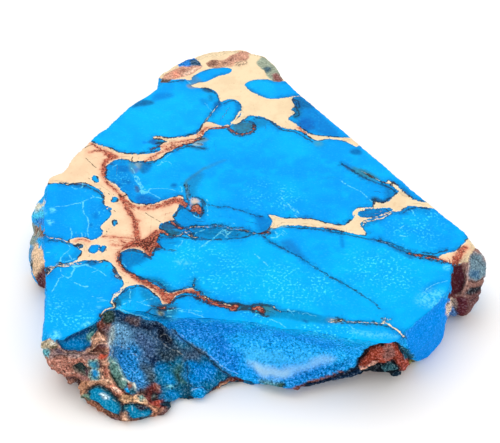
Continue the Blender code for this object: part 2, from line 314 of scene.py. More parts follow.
BLUE_IN_CREAM = [
    "mm -2.2,27.7 -1.75,28.5 -0.5,29.1 1.4,29.2 3.1,28.8 5.0,28.6 9.0,27.0 8.4,25.4 5.9,24.6 2.6,23.9"
    " 0.9,24.4 -0.5,25.4 -1.6,26.5",
    "mm -11.2,29.8 -9.9,31.2 -8.1,32.2 -6.1,32.5 -4.8,32.3 -4.5,31.6 -5.2,30.8 -6.9,30.1 -8.0,29.2"
    " -9.1,28.5 -10.2,28.5 -11.0,28.9",
    "mm 15.7,-5.3 16.3,-4.65 17.4,-4.3 19.9,-3.9 21.0,-4.1 21.2,-4.5 18.4,-6.0 16.8,-6.2 16.0,-5.9",
    "182,84.4 188,80.6 203,78.6 199,82 186,86.6",
    "88.4,249 91,246.2 95,245 99,245.2 98.2,248.2 97,252 94,253.4 90,252.2",
    "99.4,249 101,246.2 104,245.6 106.6,247 103,252.2 100.4,251",
    "111.4,199.6 113,197.4 115.6,197.2 117,199 116,201.4 113.6,202.6 111.8,201.4",
    "112.6,220.4 115,219.4 117.2,221 116.8,224 114.6,225.8 112.4,224.8 111.8,222.6",
    "92,178.4 93.6,175.8 96,175.6 98,178.6 98.4,181.6 96,182.8 93.4,181.2",
    "106.6,207 109,206.4 111,209 110.4,211.4 107.8,210",
    "76,244.6 79.4,243.8 83,245.4 82.6,248 79,248.2 76.6,246.8",
]
RUST = [
    "104,149.6 115,155 118.5,157.4 114,158.8 110.6,160.4 107,159.6 107.6,156.6 104,153.4",
    "118.5,256 120,252 126,248.5 133,247 138,246.6 142,248 150,257 153.5,249.6 156,246.8 161,248"
    " 157.4,243 157,238 159.6,234 163,232.6 168,236 165,231.6 160,229.6 154,231 146,238 140,239.8"
    " 134,240.3 129,241.8 118.5,252",
    "193,206 196.4,204.6 199.6,205.6 201.4,208.4 201.8,212 200.4,214.4 197.6,212.8 194.6,211.4 191.6,211"
    " 192,208.4",
    "163.6,203.4 171,199 176,197.8 180.4,198.6 183.6,200.6 186.6,206.4 184,206 181,203.8 177,202.6"
    " 172,203.6 167.6,205.6",
    "158,288.6 166,293.4 170,293.4 174,292.6 173.8,296 170,303.4 167.4,303 164,300.6 161,297.6",
    "230,309 231.4,306 235,304.8 239,305.2 237.4,307.4 234.6,310.4 231.6,310.8",
    "252,308.4 256,306.6 261,306.4 263.6,309.6 264,313.6 256.6,310.2",
]
# half width in mm at the start and at the end, then the lines, with a slash between two
RUST_LINES = [
    (0.13, 0.1,
     "231,130 236,133.2 243,134.2 250,132.6 253.6,129 254,125.4 / 198,134.4 201.6,131.4 204.6,128.4"),
    (0.14, 0.13, "229,126.4 222,127.6 214,128 206,127.6"),
    (0.16, 0.14, "206,128 203,132 200,136.5 196,140.5 190,143"),
    (0.13, 0.13, "188,144 180,146 166,151"),
    (0.1, 0.11, "160,152.5 146,161"),
    (0.06, 0.06,
     "152,149 158,147 165,146 / 103,236.6 126,238 132,238.6 / 112,244.6 124,246 129,245 / 326,228.6"
     " 333.6,229.6 / 76,240.6 80,239.4 85,239.6 89,241.4"),
    (0.32, 0.43, "121,197 134,219.5 135.5,226 137,239"),
    (0.13, 0.14,
     "126,203.5 133,206.8 142,208.6 152,208.2 160,207.2 168,204.8 174,202.6 180,203 185,206.4 / 119,253"
     " 118.6,258 119.6,263 122,268 126,272 131,275"),
    (0.08, 0.1, "146,206 152,204.6 164,204 170,201"),
    (0.19, 0.29, "165,202.5 171,199.6 177,198.6 182,200.4 185.5,204.6"),
    (0.3, 0.45, "131,274.5 137,278.6 144,282 158,289.6 169,298.6"),
    (0.32, 0.14,
     "168,296.6 173,295.2 179,292.4 186,291 192,291 197,293.2 207,300.8 213,303.4 229,307.4 236,306.6"),
    (0.17, 0.17, "92.6,144 101,149.2 110,153.8"),
    (0.1, 0.08, "90,152.4 95,151 100,151.4 104,152.6 / 151,160.2 153,158.4 155.4,157.4"),
    (0.33, 0.37, "109.4,158.6 106.4,160.6 104.4,163.4 103.4,167.4"),
    (0.37, 0.14, "103.4,167.4 103.2,175 105,179"),
    (0.13, 0.12, "105,179 107.6,183 111.4,186.8 115,190 121,195.8"),
    (0.24, 0.21, "121,196.4 129.4,211.6"),
    (0.21, 0.29, "129.4,211.6 131.6,215 135,224 136.4,238.4"),
    (0.08, 0.05, "134,218.8 139.6,221"),
    (0.09, 0.09,
     "124,198 127,201 135,206.4 143,209.2 149,209.2 160,207.8 164,206.4 168,204.4 172,203.2 177,202.8"
     " 181,204.4"),
    (0.08, 0.08,
     "143.6,206.8 152.4,205 155.6,206 159.6,206.4 163.4,204.8 / 171,143.2 176,142.6 193,139.4 / 262,233"
     " 266,233.6 268.6,232.4"),
    (0.14, 0.14, "171.6,221 176.4,226 179.4,228.2 182,228.6"),
    (0.08, 0.06, "121,240 123.4,242.6 127,243.4"),
    (0.11, 0.11, "117.4,256 117.8,261 119.6,265.4 122.6,269.4 127,273"),
    (0.13, 0.3, "127,272 136,279 141,281.4 146,283.4 150.6,285.6"),
    (0.24, 0.32, "150.6,285.6 168.4,299"),
    (0.27, 0.21, "168.4,298.6 172.6,295 178,292.6 184,291.6 190,291.6 195,292.6"),
    (0.19, 0.09, "195,292.6 203,298.4 208,300.8 220,303.2 230,306.6"),
    (0.19, 0.13, "166,149 173.6,145.8"),
    (0.08, 0.17, "409,253.4 424,257 440,259.4 446,262"),
    (0.07, 0.07, "158,308 161,308.6 164,307.6"),
    (0.13, 0.08, "299,127.4 303,131 307,134.2"),
    (0.5, 0.5, "mm 31.9,-13.3 31.3,-14.2 30.6,-15.6 30.3,-16.8"),
]
CREAM_LINES = [
    (0.24, 0.19, "240,112 237,117 233,122 229,126"),
    (0.06, 0.05,
     "229,126 231,130 236,133 243,134 250,132.6 253.6,129 254,125 250,122 / 164,232.4 168,237 /"
     " 265,232.6 269,233.4 272,232.6 / 159,304 160.4,306.6 160,310 / 190.4,289.6 193.6,284.6 / 198.6,293"
     " 208,299 / 176,298.4 181,296.6 187,295.4"),
    (0.16, 0.13, "229,126 222,128 214,128.6 206,127.6"),
    (0.11, 0.14,
     "46,238.3 55,238.4 60,239.2 68,242 72,242.6 / 44.5,276.6 47.5,274.8 52,269 55,266.6 58.5,265.4"
     " 62,266.2 66,266.8 69.5,265.4 72,263.8"),
    (0.06, 0.08, "43.5,234.8 46,236.8 49,238"),
    (0.08, 0.08,
     "74.5,243 76.5,246 79.5,248.5 82,250.8 83.3,253.5 / 45,268.6 57,264 / 45.5,272 52,267.6 56,265.8 /"
     " 96,261.6 98.5,262.8 101,261.6 / 113.5,270 116,273 115.6,276 118,278.4 121,279.6 123,277.6"
     " 120.6,275.6 118,274.6"),
    (0.06, 0.06,
     "77,245.8 80,247.6 83,247 85,249.4 84,252 / 378,240.4 384,242.4 391,244.6 / 210,301.8 216,302.4"
     " 228,305.6 / 227.6,309.6 230,311 234,311.6 / 252,307.6 256,306.2 262,305.8 266,306.2"),
    (0.08, 0.06,
     "76,242 80,243.6 84,243.4 86.5,245.6 / 197,141 200.5,139.4 204,138.6 / 188,233 191,232.4 194,234 /"
     " 385,322 385.4,317.4 / 229,310 231,306.4 235,305.4 239.6,305 / 258,311 264,314.6"),
    (0.08, 0.1, "57,263.6 59,262.6 62,264 65.5,264.6 72,262.4 75,262.8"),
    (0.1, 0.08,
     "72,264.6 77,264.4 87,262.3 / 204,124 208,118 218,105.5 / 329,321.8 334,321.8 340,321 / 273,306.6"
     " 275.6,307.8"),
    (0.14, 0.13,
     "123.5,289.5 118.6,294.4 117,296.6 / 354.6,217 353,214.6 353.6,211.6 357,209.8 362,208.8 375,208.4"
     " / 50,182 56,182.2 68,184.4"),
    (0.11, 0.16, "118.5,292.3 115.6,293 113.6,295.4 112,302.6"),
    (0.16, 0.14, "112,302.6 114,305 113,307.6 106,309.6"),
    (0.16, 0.1, "106,309.6 104,311.4 101,316.4"),
    (0.14, 0.19, "155,138 159,138.2 163,139.2 171,142.4"),
    (0.1, 0.06,
     "190,143.6 194,142.6 198,143.4 202,144.8 / 152,305.6 158,306.8 163.6,306.2 168.6,304.8 / 164,308.4"
     " 177,307.7"),
    (0.11, 0.13, "174,227.6 181.5,231 184.5,230.6"),
    (0.13, 0.08, "184.5,230.6 188,229 191,227.4 195,226.8"),
    (0.14, 0.08, "184.5,231.4 190.6,236 194,237.6 197,237"),
    (0.11, 0.06,
     "184,231.6 181.6,234.4 177.6,235.6 172,235.4 167,236 / 362.6,225.6 365,223.6 368.6,222.2"),
    (0.06, 0.07, "190,227.6 198,226.6 212,226.6 217,225.7 234,229.2 240,229.2 245,230.2 253,233"),
    (0.1, 0.14, "253,233.2 257,233.6 261,233.2 268.6,229.2 271,227.6"),
    (0.14, 0.14, "363,222.6 366,221 371,220.8 377,219.2 382,218.2 391,213"),
    (0.06, 0.1, "362,171.4 380,180.8 385,182.8"),
    (0.13, 0.19, "385,182.8 391,183.6 395.6,185.2 398.6,188.4 400.6,192 402,195"),
    (0.1, 0.22, "409,252.2 416,254 432,256.8 440,257.6"),
    (0.07, 0.06, "330,318.8 336,319.6 342,319.8 348,321.6"),
    (0.08, 0.11, "348,321.8 356,322 379,323.6 384,323"),
    (0.14, 0.17, "384,320.6 386,322.8 400,332"),
    (0.08, 0.05,
     "385,322 382,320.4 381,318.6 / 386,322 389,320 391.6,319.4 / 233,311 239.6,306.4 / 277,309"
     " 280.6,312 / 157,308.6 161,310.8 165,312.4"),
    (0.17, 0.14, "400,332 402.6,334.6 404,337"),
]
DARK_LINES = [
    (0.08, 0.05, "184.6,184 186.2,194 187,199"),
    (0.06, 0.06, "188.4,185 189.6,196"),
    (0.14, 0.14,
     "120.5,256 123,251.4 129,248.6 135,248 140,250.4 145,255.4 150.6,259 / 116.6,273.4 119,276"
     " 122,277.4 / 141,162.4 151,163.2 160,157.8 164,154.6 174,151 / 179.4,206.6 178.6,210 173.6,217.4 /"
     " 131,274.6 136,277 142,278.6 149,279.8 156,281.4 161,284.4 165,288.4 169,291 174,290.8 180,289.4"),
    (0.1, 0.08,
     "153,254 155.6,249 160,248.6 176,250.4 / 193,287.4 199,290.4 206,296.4 214,299.8 232,303.6 /"
     " 160.5,226 164,223.2 169,222.6 178,228 / 46,270.4 50,268 54,266.6 / 46,274 49.6,271.6 52.6,268 /"
     " 172,138.2 184,136.6 190,135 195,133 198.6,130.4 203.6,123.6 / 192,229 198,228.2 212,228.4"
     " 218,227.8 230,230 236,231 242,231.2 252,234 / 402,192 405,195.4 410,198 416,200 424,201.8"),
    (0.14, 0.13,
     "120.4,258 121.4,263 124.6,268.6 130,272.6 137,276 144,278.6 152,280.6 159,283.6 164,288 170,291.4"
     " 186,287.4 193,287.4 / 78,242.2 81,242.6 84.4,243.8 / 117.4,298 115.4,301 116.4,304.6 115,308 /"
     " 117.6,253.6 119.6,263 122,267.6 126,271.6 131,274.6 / 331,277 338,280.4 351,288"),
    (0.08, 0.08,
     "133,288 140,285.6 147,286.6 154,290.6 165,301 / 236,123.6 243,121.6 250,121 255,124.6 255.4,129.6"
     " / 228,129 232,133.6 240,136 249,135 254.6,131.6 / 51,180.6 57,180.8 67,182.4 / 48,240.6 60,241.4"
     " 70,244.6 / 196,225.4 206,225.4 217,224.3 234,227.6 240,227.6 246,229 254,231.8"),
    (0.1, 0.1,
     "174,300 180,296.4 188,295.6 195,297.6 201,301.4 / 93,142 98,145 110,149.8 116,151.4 121,153.4"
     " 127,154.2 133,154.6 139,154.2 145,152.6 160,150.4 / 157,241 156.6,246 158,249 / 376,209.4"
     " 383,209.4 390,210.6 394,212.6 / 404,212.4 408,210 413,208 419,207.6 426,208.6 431,210 / 224,103.6"
     " 228,101.4 233,100.6 238,102.6 241.6,107 242,112"),
    (0.13, 0.1,
     "293,98 298,101.6 300,106 297.6,109.6 299,113.6 295.6,117.6 / 88,262 91,260.6 94,261 96,262.6 /"
     " 187,198 188.6,201 189,205 / 272.6,218 273.4,222 272.4,226 269,229 / 158,309.6 163,310.4 167,309.6"
     " 172,309.6"),
    (0.1, 0.06, "158,136 170,140.6 176,141.6 / 272,306.6 276,309.4 281,310.8 287,311.6"),
    (0.11, 0.08,
     "68,184.6 74,184.4 80,184.8 86,186 92,188.4 97,191.4 101,194.6 103.6,198 / 161,313 162.4,316"
     " 164,318"),
    (0.16, 0.16, "83.6,246 85.6,248 86.4,251"),
    (0.14, 0.11,
     "119,160 125,159.4 130,160.2 135,163.6 / 129.6,199 133,202.6 138,205 143,206 147,205.4 / 196,198"
     " 202,200 201.6,203 203,207 203.4,212 201.6,215.6"),
    (0.13, 0.11, "178,149.4 188,146.6 193,146.4 199,147.4 204,148.6"),
    (0.17, 0.13, "157,143.6 161,142.6 171,143.6"),
    (0.13, 0.13,
     "107,170 105.8,174 107.6,179 111.6,183.6 125.6,194.4 / 179.6,206.4 183,207.4 187,209.4 190,211.4"
     " 200,216.6 / 160,237 174,237 181,236.8 188,238.4 195,239 202,239 / 179,227.4 184,228.4 188,227.6 /"
     " 370,239 377,240.6 398,249 412,255.4"),
    (0.16, 0.14, "174,219.4 181,226 185,227.4 196,225.4 / 374,181.8 387,186.4 392,189.2 398,195"),
    (0.11, 0.14, "190,233 194,235.6 200,238 208,239.2 224,239 240,238.4 246,237 251,235 254,234.4"),
    (0.09, 0.08,
     "200,199.4 208,204 213,205.8 219,206.8 224,206.6 229,207 234,209 240,210.4 246,212 252,214.4"
     " 258,216.4 264,217"),
    (0.14, 0.16,
     "118,252.8 123,250.8 130,250.4 137,251.2 142,252.6 147,255.6 150.6,259 / 304,129.6 309,133"
     " 316,135.4 332,136.8 340,138 348,140"),
    (0.14, 0.06, "157,249.4 162,249.8 167,250.4 172.6,250.8"),
    (0.11, 0.13,
     "180,289.4 186,288.4 192,288.2 197,289.8 201,292.6 205,296 210,299 216,300.4 222,301.6 228,303.6"),
    (0.11, 0.11,
     "123,292.4 127,289.8 132,287.6 138,286.6 144,287 149,289.4 162,300.6 166,304 / 172,303.4 175,299.8"
     " 180,297.2 186,295.8 192,295.8 197,297.8 202,301 208,303.2 222,305.8 228,308.6 / 284,226.8"
     " 316,229.4 332,231.8 370,239.2 / 291.6,99 294.6,104.6 293.6,106.8 296.4,108 293.4,110.4 292.6,113 /"
     " 163,81.4 169,82.2 184,80.4"),
    (0.21, 0.21, "226,303.6 232,303.8 238,303.6 244,306 250,306.6 255,304.8 261,304.2 267,305 272,306.6"),
    (0.19, 0.19, "236,310.6 243,308.8 250,309.6 262,315 268,316.6"),
    (0.1, 0.11,
     "342,322.8 366,324 382,325.4 388,326.6 394,330 / 272,216.8 274.6,217.2 278,219.6 290,217.6 /"
     " 412,255.4 420,258 436,260.8 442,263"),
    (0.08, 0.06, "336,318 343,318.6 350,320.4 358,320.8 374,321.6 / 284,248.6 304,259.6 311,265"),
    (0.13, 0.14, "305,219.4 312,219.6 319,221 326,223.2 333,224.6 340,225 345,224.6 350,220.4"),
    (0.08, 0.1, "380,239.2 410,250.8 / 262,235.2 266,238 270,241.6 284,248.6"),
    (0.11, 0.1,
     "424,252.4 430,253.6 436,253.8 440,251.6 446,250.4 / 256,117.6 262,118.4 268,120 273,123.4 277,127"
     " 283,130.4 290,131.2 296,132.4 313,142.2 / 202,88.4 207,88 211,91 215.6,93.4 218.6,97 219.4,101.4"
     " 220.6,104"),
    (0.13, 0.19, "341,163.6 360,175 374,181.8"),
    (0.24, 0.16, "373,199 381,203 385,201.4 390,198.4"),
    (0.06, 0.14, "311,265 331,277"),
    (0.11, 0.05, "351,288 370,300 381,309"),
    (0.16, 0.08, "192,288 193.4,284.6 195,278.4"),
    (0.1, 0.05, "152,309 150,311 147,312"),
]
CRACKS = [
    (0.06, 0.14, "137,247 146,242.4 151,241.6 154,239.6"),
    (0.13, 0.05, "145,250.6 151,243.4 154.6,242.6"),
    (0.11, 0.05, "149.6,252 152,248.4 156,246.6 160,247"),
    (0.05, 0.1, "128,246.6 133,244.4 138,243"),
    (0.1, 0.05, "153,238 157,235 162,233.4"),
    (0.08, 0.05, "158,231.6 167,235.4"),
    (0.05, 0.05, "141,241.6 145,238.6 149,238 / 85,148 89,146 93,144.6"),
    (0.11, 0.06, "143,247 147,245 150,247"),
    (0.1, 0.08, "132.8,156.6 131.4,162.6 / 274,308.8 277.6,310.2"),
    (0.14, 0.13, "118.6,195 122,196.6 126.4,195.2"),
    (0.04, 0.03, "145,212.6 151,216.6 161,222 / 86,158 96,168"),
    (0.08, 0.06,
     "108,193.4 109,194.2 / 114.6,210.6 115.6,211.4 / 104.6,235.6 107,236.6 / 112,226.6 113,227.4 /"
     " 99.6,191.4 100.6,192 / 182,199.4 184.6,199.8"),
    (0.06, 0.05, "106,231 106.6,232 / 88,178 89.4,178.6 / 100,188.6 101,189.4"),
    (0.11, 0.08, "182.6,228.4 185.6,228.2 / 182.4,234.2 186,234.6"),
]
# colour, strength, softness in mm, outline
STAINS = [
    ((58, 82, 74), 0.85, 0.35,
     "232,126 237,123.6 244,122.4 251,123 253.4,126.4 251,130.6 244,132.8 237,132"),
    ((44, 54, 82), 0.92, 0.25,
     "160.5,226.4 164,223.6 169,223 173,225.5 177,228.4 171,229.6 165,229.6 162,228.6"),
    ((26, 76, 80), 0.9, 0.25, "160,230.6 176,230.6 181,232 178,234.6 170,235.4 163,233.4"),
    ((4, 96, 130), 0.7, 0.6,
     "194,229.6 206,229.6 220,229 232,230 240,232 238,236.4 226,237 210,236.4 198,234.4"),
    ((52, 56, 66), 0.9, 0.25, "293,99 297,101 299,106 297,112 294,117 292,113 295,107 293,103"),
    ((8, 98, 180), 0.7, 0.6, "297,99 310,104 325,118 338,132 330,136 312,130 300,120 295,112"),
    ((22, 70, 132), 0.7, 0.4, "300,120 308,122 314,128 306,130 300,126"),
    ((0, 140, 236), 0.4, 1.0,
     "48,184 60,184 80,188 92,194 102,204 106,216 102,232 94,238 80,238 60,236 46,234 44,210"),
    ((0, 138, 236), 0.4, 1.0,
     "46,274 62,268 84,266 108,270 120,284 112,298 100,312 84,326 66,338 52,336 44,310"),
    ((0, 184, 246), 0.45, 3.0, "250,290 280,262 330,262 390,250 446,262 444,292 404,330 340,326 280,312"),
    ((0, 178, 246), 0.45, 2.5, "180,244 236,240 262,262 270,290 230,296 190,282 172,262"),
    ((0, 186, 248), 0.4, 2.5, "110,130 150,100 200,92 200,112 180,132 140,144"),
    ((120, 106, 96), 0.8, 0.3, "64,160 74,155 75,158 71,163 67,170 63,172 62,166"),
    ((186, 160, 128), 0.6, 0.3, "60,176 68,172 75,170 76,173 68,176 61,179"),
    ((0, 128, 214), 0.55, 0.9, "88,198 96,200 104,206 108,213 104,224 98,236 90,238 86,226 86,212"),
    ((0, 96, 178), 0.8, 0.25, "89,223.6 92,223.4 92,226.6 89.6,227"),
    ((0, 104, 190), 0.6, 0.35, "92,214 97,213 99,217 94,219"),
    ((6, 84, 150), 0.7, 0.25, "69,183 78,183.4 86,185.6 91,189 82,188.4 72,186.4"),
    ((10, 70, 130), 0.8, 0.25, "86,261 91,259.6 96,261 97,264.6 90,266.4 85,264.4"),
    ((0, 122, 206), 0.5, 0.7, "50,273 58,270 62,274 56,280 49,281"),
    ((0, 112, 190), 0.6, 0.5, "62,257 70,255 77,250 79,256 72,261 64,261.4"),
    ((0, 92, 160), 0.85, 0.5, "119,252 128,251.4 138,252.6 146,256.6 144,262 134,266 127,268 121,262"),
    ((0, 110, 186), 0.7, 0.7, "120,262 128,264 134,272 128,272 122,268"),
    ((4, 84, 156), 0.85, 0.45, "117,167 121,165.4 127,166.4 129.6,169.6 126,172 119,171"),
    ((0, 104, 186), 0.6, 0.9, "108,166 118,162 130,163 134,174 136,186 130,196 118,188 108,178"),
    ((76, 134, 150), 0.8, 0.35, "129,163 134,163.6 135,169 133,174 129.6,170"),
    ((92, 100, 150), 0.75, 0.3, "133,168.4 138,167.4 139.4,170.4 135,173.4 132.6,172"),
    ((150, 158, 140), 0.85, 0.25, "134.6,162.6 141,162.6 142.4,165 139.6,168.6 136,166.4"),
    ((24, 82, 120), 0.85, 0.4, "141,163.6 152,164.6 148,169.6 143,173.4 139.6,170"),
    ((0, 98, 176), 0.7, 0.4, "143,165 151,165.4 149,171.6 143,173"),
    ((0, 86, 158), 0.8, 0.3, "122,179.6 125,179.6 125.6,182.4 122.4,182.6"),
    ((0, 86, 158), 0.8, 0.3, "126.6,180.4 130,181 130,184 127,184"),
    ((0, 88, 164), 0.7, 0.35, "115,184 121,185 120,188.4 115,187"),
    ((62, 62, 104), 0.85, 0.25, "135.4,185.6 138.6,187 140.4,191.6 136.6,192.4 134.6,189"),
    ((10, 76, 168), 0.85, 0.7, "138,194.6 148,194.6 158,198.6 156,202 148,204 140,204.6 135,200"),
    ((0, 78, 160), 0.85, 0.45, "171.6,183.6 176,183.6 177.6,186 174,188 170.8,186.6"),
    ((0, 120, 204), 0.5, 1.0, "150,190 166,190.4 180,193 172,198 160,200 150,196"),
    ((92, 100, 76), 0.9, 0.15, "184.6,184 186.6,183 188,187 188.8,199 187.2,199 185.4,188"),
    ((64, 110, 112), 0.85, 0.3, "185,181.6 189,178 203,168.4 205,168.6 188.6,180.6 187,185 184.6,185.6"),
    ((50, 112, 140), 0.6, 0.5, "203,168.4 218,162 226,160 218,163.6 208,168.6"),
    ((20, 104, 156), 0.65, 0.7, "189,178 199,172.6 204,175 198,186 196,196 190,197 188,186"),
    ((0, 122, 186), 0.6, 1.0, "180,208 188,211 200,218 194,224.6 184,225 177,219.6 177,212.6"),
    ((0, 104, 160), 0.6, 0.7, "201,198 206,203 206,212 203,218 201,214"),
    ((142, 136, 104), 0.9, 0.25, "191,202.6 194,202 198,203.6 198.4,206.8 194.6,208 191.6,206"),
    ((232, 196, 158), 0.95, 0.25, "190.6,199.4 194,198 198,199.4 199.4,202.4 196.4,203.4 192,203.4"),
    ((186, 116, 96), 0.9, 0.25, "190,203.6 194,206 197,205 200,207.4 200.4,212 196,211.6 191,209.4"),
    ((40, 62, 84), 0.9, 0.25,
     "161,225.6 164,223.6 168.4,222.8 172.4,224.6 174,227.4 171,229.4 166,229.8 162,228.6"),
    ((34, 74, 80), 0.9, 0.35, "157,230.6 163,228.6 176,231 180,233.6 176,236 168,236.4 162,234"),
    ((0, 98, 150), 0.7, 0.6,
     "196,230 216,229 232,231.4 242,232.4 249,233.4 243,236.6 232,237.4 218,238 206,237.6 199,235.6"),
    ((0, 110, 186), 0.6, 0.7, "157,238.6 165,238 176,239 184,241 176,246 166,248.4 158,247"),
    ((0, 96, 176), 0.75, 0.6, "257,214.6 264,217.6 271,219 271.6,225 266,230 259,232 256,224"),
    ((20, 92, 168), 0.7, 0.8, "280,242 290,240 300,250 304,258 296,255 286,249"),
    ((0, 104, 186), 0.7, 0.35, "340.4,236.6 343,237 344.4,246.6 341.6,247.4"),
    ((0, 108, 190), 0.6, 0.45, "303,216 311,214.6 314,218 308,219.6 303,219"),
    ((0, 92, 130), 0.8, 0.8,
     "142,277.6 152,276.8 162,279.4 170,286 172,290.6 166,289 160,283.6 150,280.6"),
    ((0, 112, 166), 0.65, 0.7,
     "189,281 195,277 199,281 200,287 206,291 214,291.6 208,294 200,291.6 192,287.6"),
    ((10, 104, 150), 0.75, 0.7, "140,288 148,290 164,302.6 160,304.6 150,303 142,298"),
    ((12, 96, 140), 0.7, 0.7, "119,296 127,291.6 134,290 132,298 126,300 119,301.6"),
    ((14, 56, 74), 0.9, 0.3, "114.6,299 118,298.4 121.4,301.6 121,305 117.6,306 115,304.4"),
    ((28, 92, 116), 0.8, 0.7,
     "151,304.4 160,303.6 172,303.8 177,305.6 178,311 174,317 162,319.6 152,315"),
    ((150, 142, 70), 0.85, 0.25, "158,311.4 162.6,311.4 163.4,314.6 159.6,316"),
    ((96, 60, 44), 0.85, 0.25, "158.6,307 164,306.8 164.4,309.4 159.4,309.6"),
    ((36, 78, 82), 0.9, 0.35,
     "226,303 236,302.4 244,304.4 252,304.6 262,303.6 270,305.4 276,308.4 280,311.6 272,315.4 265,316"
     " 257,314 250,311.4 240,310.4 230,311 225,307"),
    ((56, 122, 122), 0.85, 0.35, "263,306 269,306 274,309 278,312.4 272,315.6 265,314.6 262,310"),
    ((0, 118, 166), 0.85, 0.45,
     "264,315 274,311 284,311.6 296,311.4 308,313 320,316.4 328,319.4 326,323 300,321.4 286,318.8"
     " 272,318"),
    ((0, 98, 150), 0.8, 0.35, "280,309.6 290,309.4 302,310.6 322,316 312,315.6 298,313.4 286,312.6"),
    ((8, 76, 140), 0.8, 0.25, "303,319.6 307.4,320.4 308,323.4 304,322.6"),
    ((118, 128, 96), 0.8, 0.3, "328,318.4 342,319.4 342,322.6 334,323 328,322"),
    ((0, 128, 184), 0.6, 0.6, "320,316.6 330,317 330,323.4 320,323"),
    ((150, 206, 186), 0.9, 0.35,
     "273.6,217 278,220 283.4,220.4 284,225.6 279,227 273,228.6 269.6,230 273,226 274.6,221.4"),
    ((196, 224, 176), 0.7, 0.3, "281,219.6 286,219.4 287,226 282,226.4"),
    ((14, 70, 124), 0.85, 0.5, "294,99.6 301,97 314,107 304,108.6 297,107.6"),
    ((20, 92, 130), 0.85, 0.4, "295,107 300,107.4 301,114 297,119 292.6,117.4 294.6,112"),
    ((10, 88, 178), 0.85, 0.7, "298,119.6 308,118.4 314,121.6 312,128 305,130 299,125.6"),
    ((4, 104, 190), 0.6, 0.7, "312,131 322,133 346,136.6 338,134 324,130.6"),
    ((0, 84, 152), 0.9, 0.4, "351,149.6 358,149 361.6,151.6 360,155 353,154.6 350,152"),
    ((0, 128, 200), 0.55, 0.7, "314,143 322,141.6 328,144 324,149 316,149"),
    ((90, 150, 120), 0.5, 0.4, "314,142 321,141.6 322,145 316,146"),
    ((0, 134, 210), 0.55, 0.7, "327,175.6 335,175.4 337,178.6 328,179.6"),
    ((52, 120, 130), 0.85, 0.4,
     "352,166.6 360,168.6 368,171.4 380,179 376,181.4 368,178.4 360,175.4 352,171"),
    ((20, 98, 170), 0.7, 0.5, "343,162.6 350,165.6 354,171 347,169.4"),
    ((30, 60, 92), 0.9, 0.35,
     "371,197.4 377,197 383,200.4 390,196.4 389,200 383,204 377,203.4 373,200.6"),
    ((10, 98, 166), 0.7, 0.6, "386,186.6 392,190 396,195 390,197.6 384,194.6"),
    ((10, 98, 166), 0.7, 0.5, "402,190 408,196 416,199.4 422,201 414,196 408,190.6 403,187"),
    ((4, 88, 158), 0.8, 0.4, "359,212 368,210.8 380,210.8 390,212 384,215 374,218.4 362,218.4"),
    ((0, 112, 186), 0.5, 0.8, "408,207.6 418,208 428,211 432,216 422,214.6 412,212.6"),
    ((10, 84, 146), 0.7, 0.4, "394,247.6 412,255 412,259.6 402,254 394,250"),
    ((0, 112, 196), 0.7, 0.8, "424,290 428,284 436,280.6 444,280 440,284.4 428,292.6"),
    ((0, 112, 200), 0.8, 0.6, "154,94.6 164,92.4 173,93.6 172,97.4 162,99.4 152,101"),
    ((14, 62, 118), 0.9, 0.4, "136,102.6 144,99.6 152,101 154,103.6 146,106 138,106.6 132,107.6"),
    ((0, 104, 164), 0.8, 0.45, "208,95 212,94.6 214,98 212,101.6 208.6,100"),
    ((0, 116, 196), 0.7, 0.5, "200,99 206,98.4 209,103 205,106 200.6,103"),
    ((6, 78, 150), 0.85, 0.35, "214,103 219,102 221,105.6 217,109 213.6,107"),
    ((0, 96, 168), 0.75, 0.45, "236,103 240,106 241.4,112 239.6,117 235,107"),
    ((70, 128, 176), 0.85, 0.35, "189,77 194,75.4 198,77.6 203,82.4 199,85 193,84.4 190,81"),
    ((30, 92, 116), 0.9, 0.3, "201,66 205,62.6 209,64.4 210,68.6 206,71 201,71"),
    ((148, 142, 128), 0.8, 0.3, "187,84.4 208,82.6 208,85 192,88.6"),
    ((26, 66, 96), 0.9, 0.3, "203,88 208,86.8 214,92 209,93 203,90.6"),
    ((20, 110, 160), 0.7, 0.6, "255,118 262,119.6 268,122.4 264,127 258,127 254,122"),
    ((24, 70, 150), 0.85, 0.35, "149,140.6 153,138.6 157,140.6 160,143.6 156,145.6 148,142.6"),
    ((0, 112, 214), 0.7, 0.3, "142,141.4 146,141 147,143.4 143,144"),
    ((38, 66, 66), 0.9, 0.25, "156,141 162,141.2 168,142.4 172,144.4 166,145.4 160,145 156.6,143.4"),
    ((10, 80, 168), 0.8, 0.35, "174,137 186,135.6 184,138 176,139.4"),
    ((112, 132, 120), 0.85, 0.3, "195,138 199,137 204,137.4 208,139.6 204,142 198,142.4 194,141"),
    ((186, 190, 160), 0.8, 0.25, "192,142 198,142.6 203,144 200,146 194,145.4"),
    ((34, 84, 110), 0.8, 0.35, "186,146 194,145.8 208,148 202,149.8 192,148.6"),
    ((150, 122, 100), 0.8, 0.25, "69,178 76,178 84,180.6 88,184 70,182.6"),
    ((44, 96, 120), 0.9, 0.25, "74,244 80,243.6 83.6,246 82,249.4 78,248.4 75.6,246.4"),
    ((214, 168, 132), 0.95, 0.3, "75,241 80,238.8 86,239.2 90,241.4 87,244 82,242.8 77,243.4"),
]
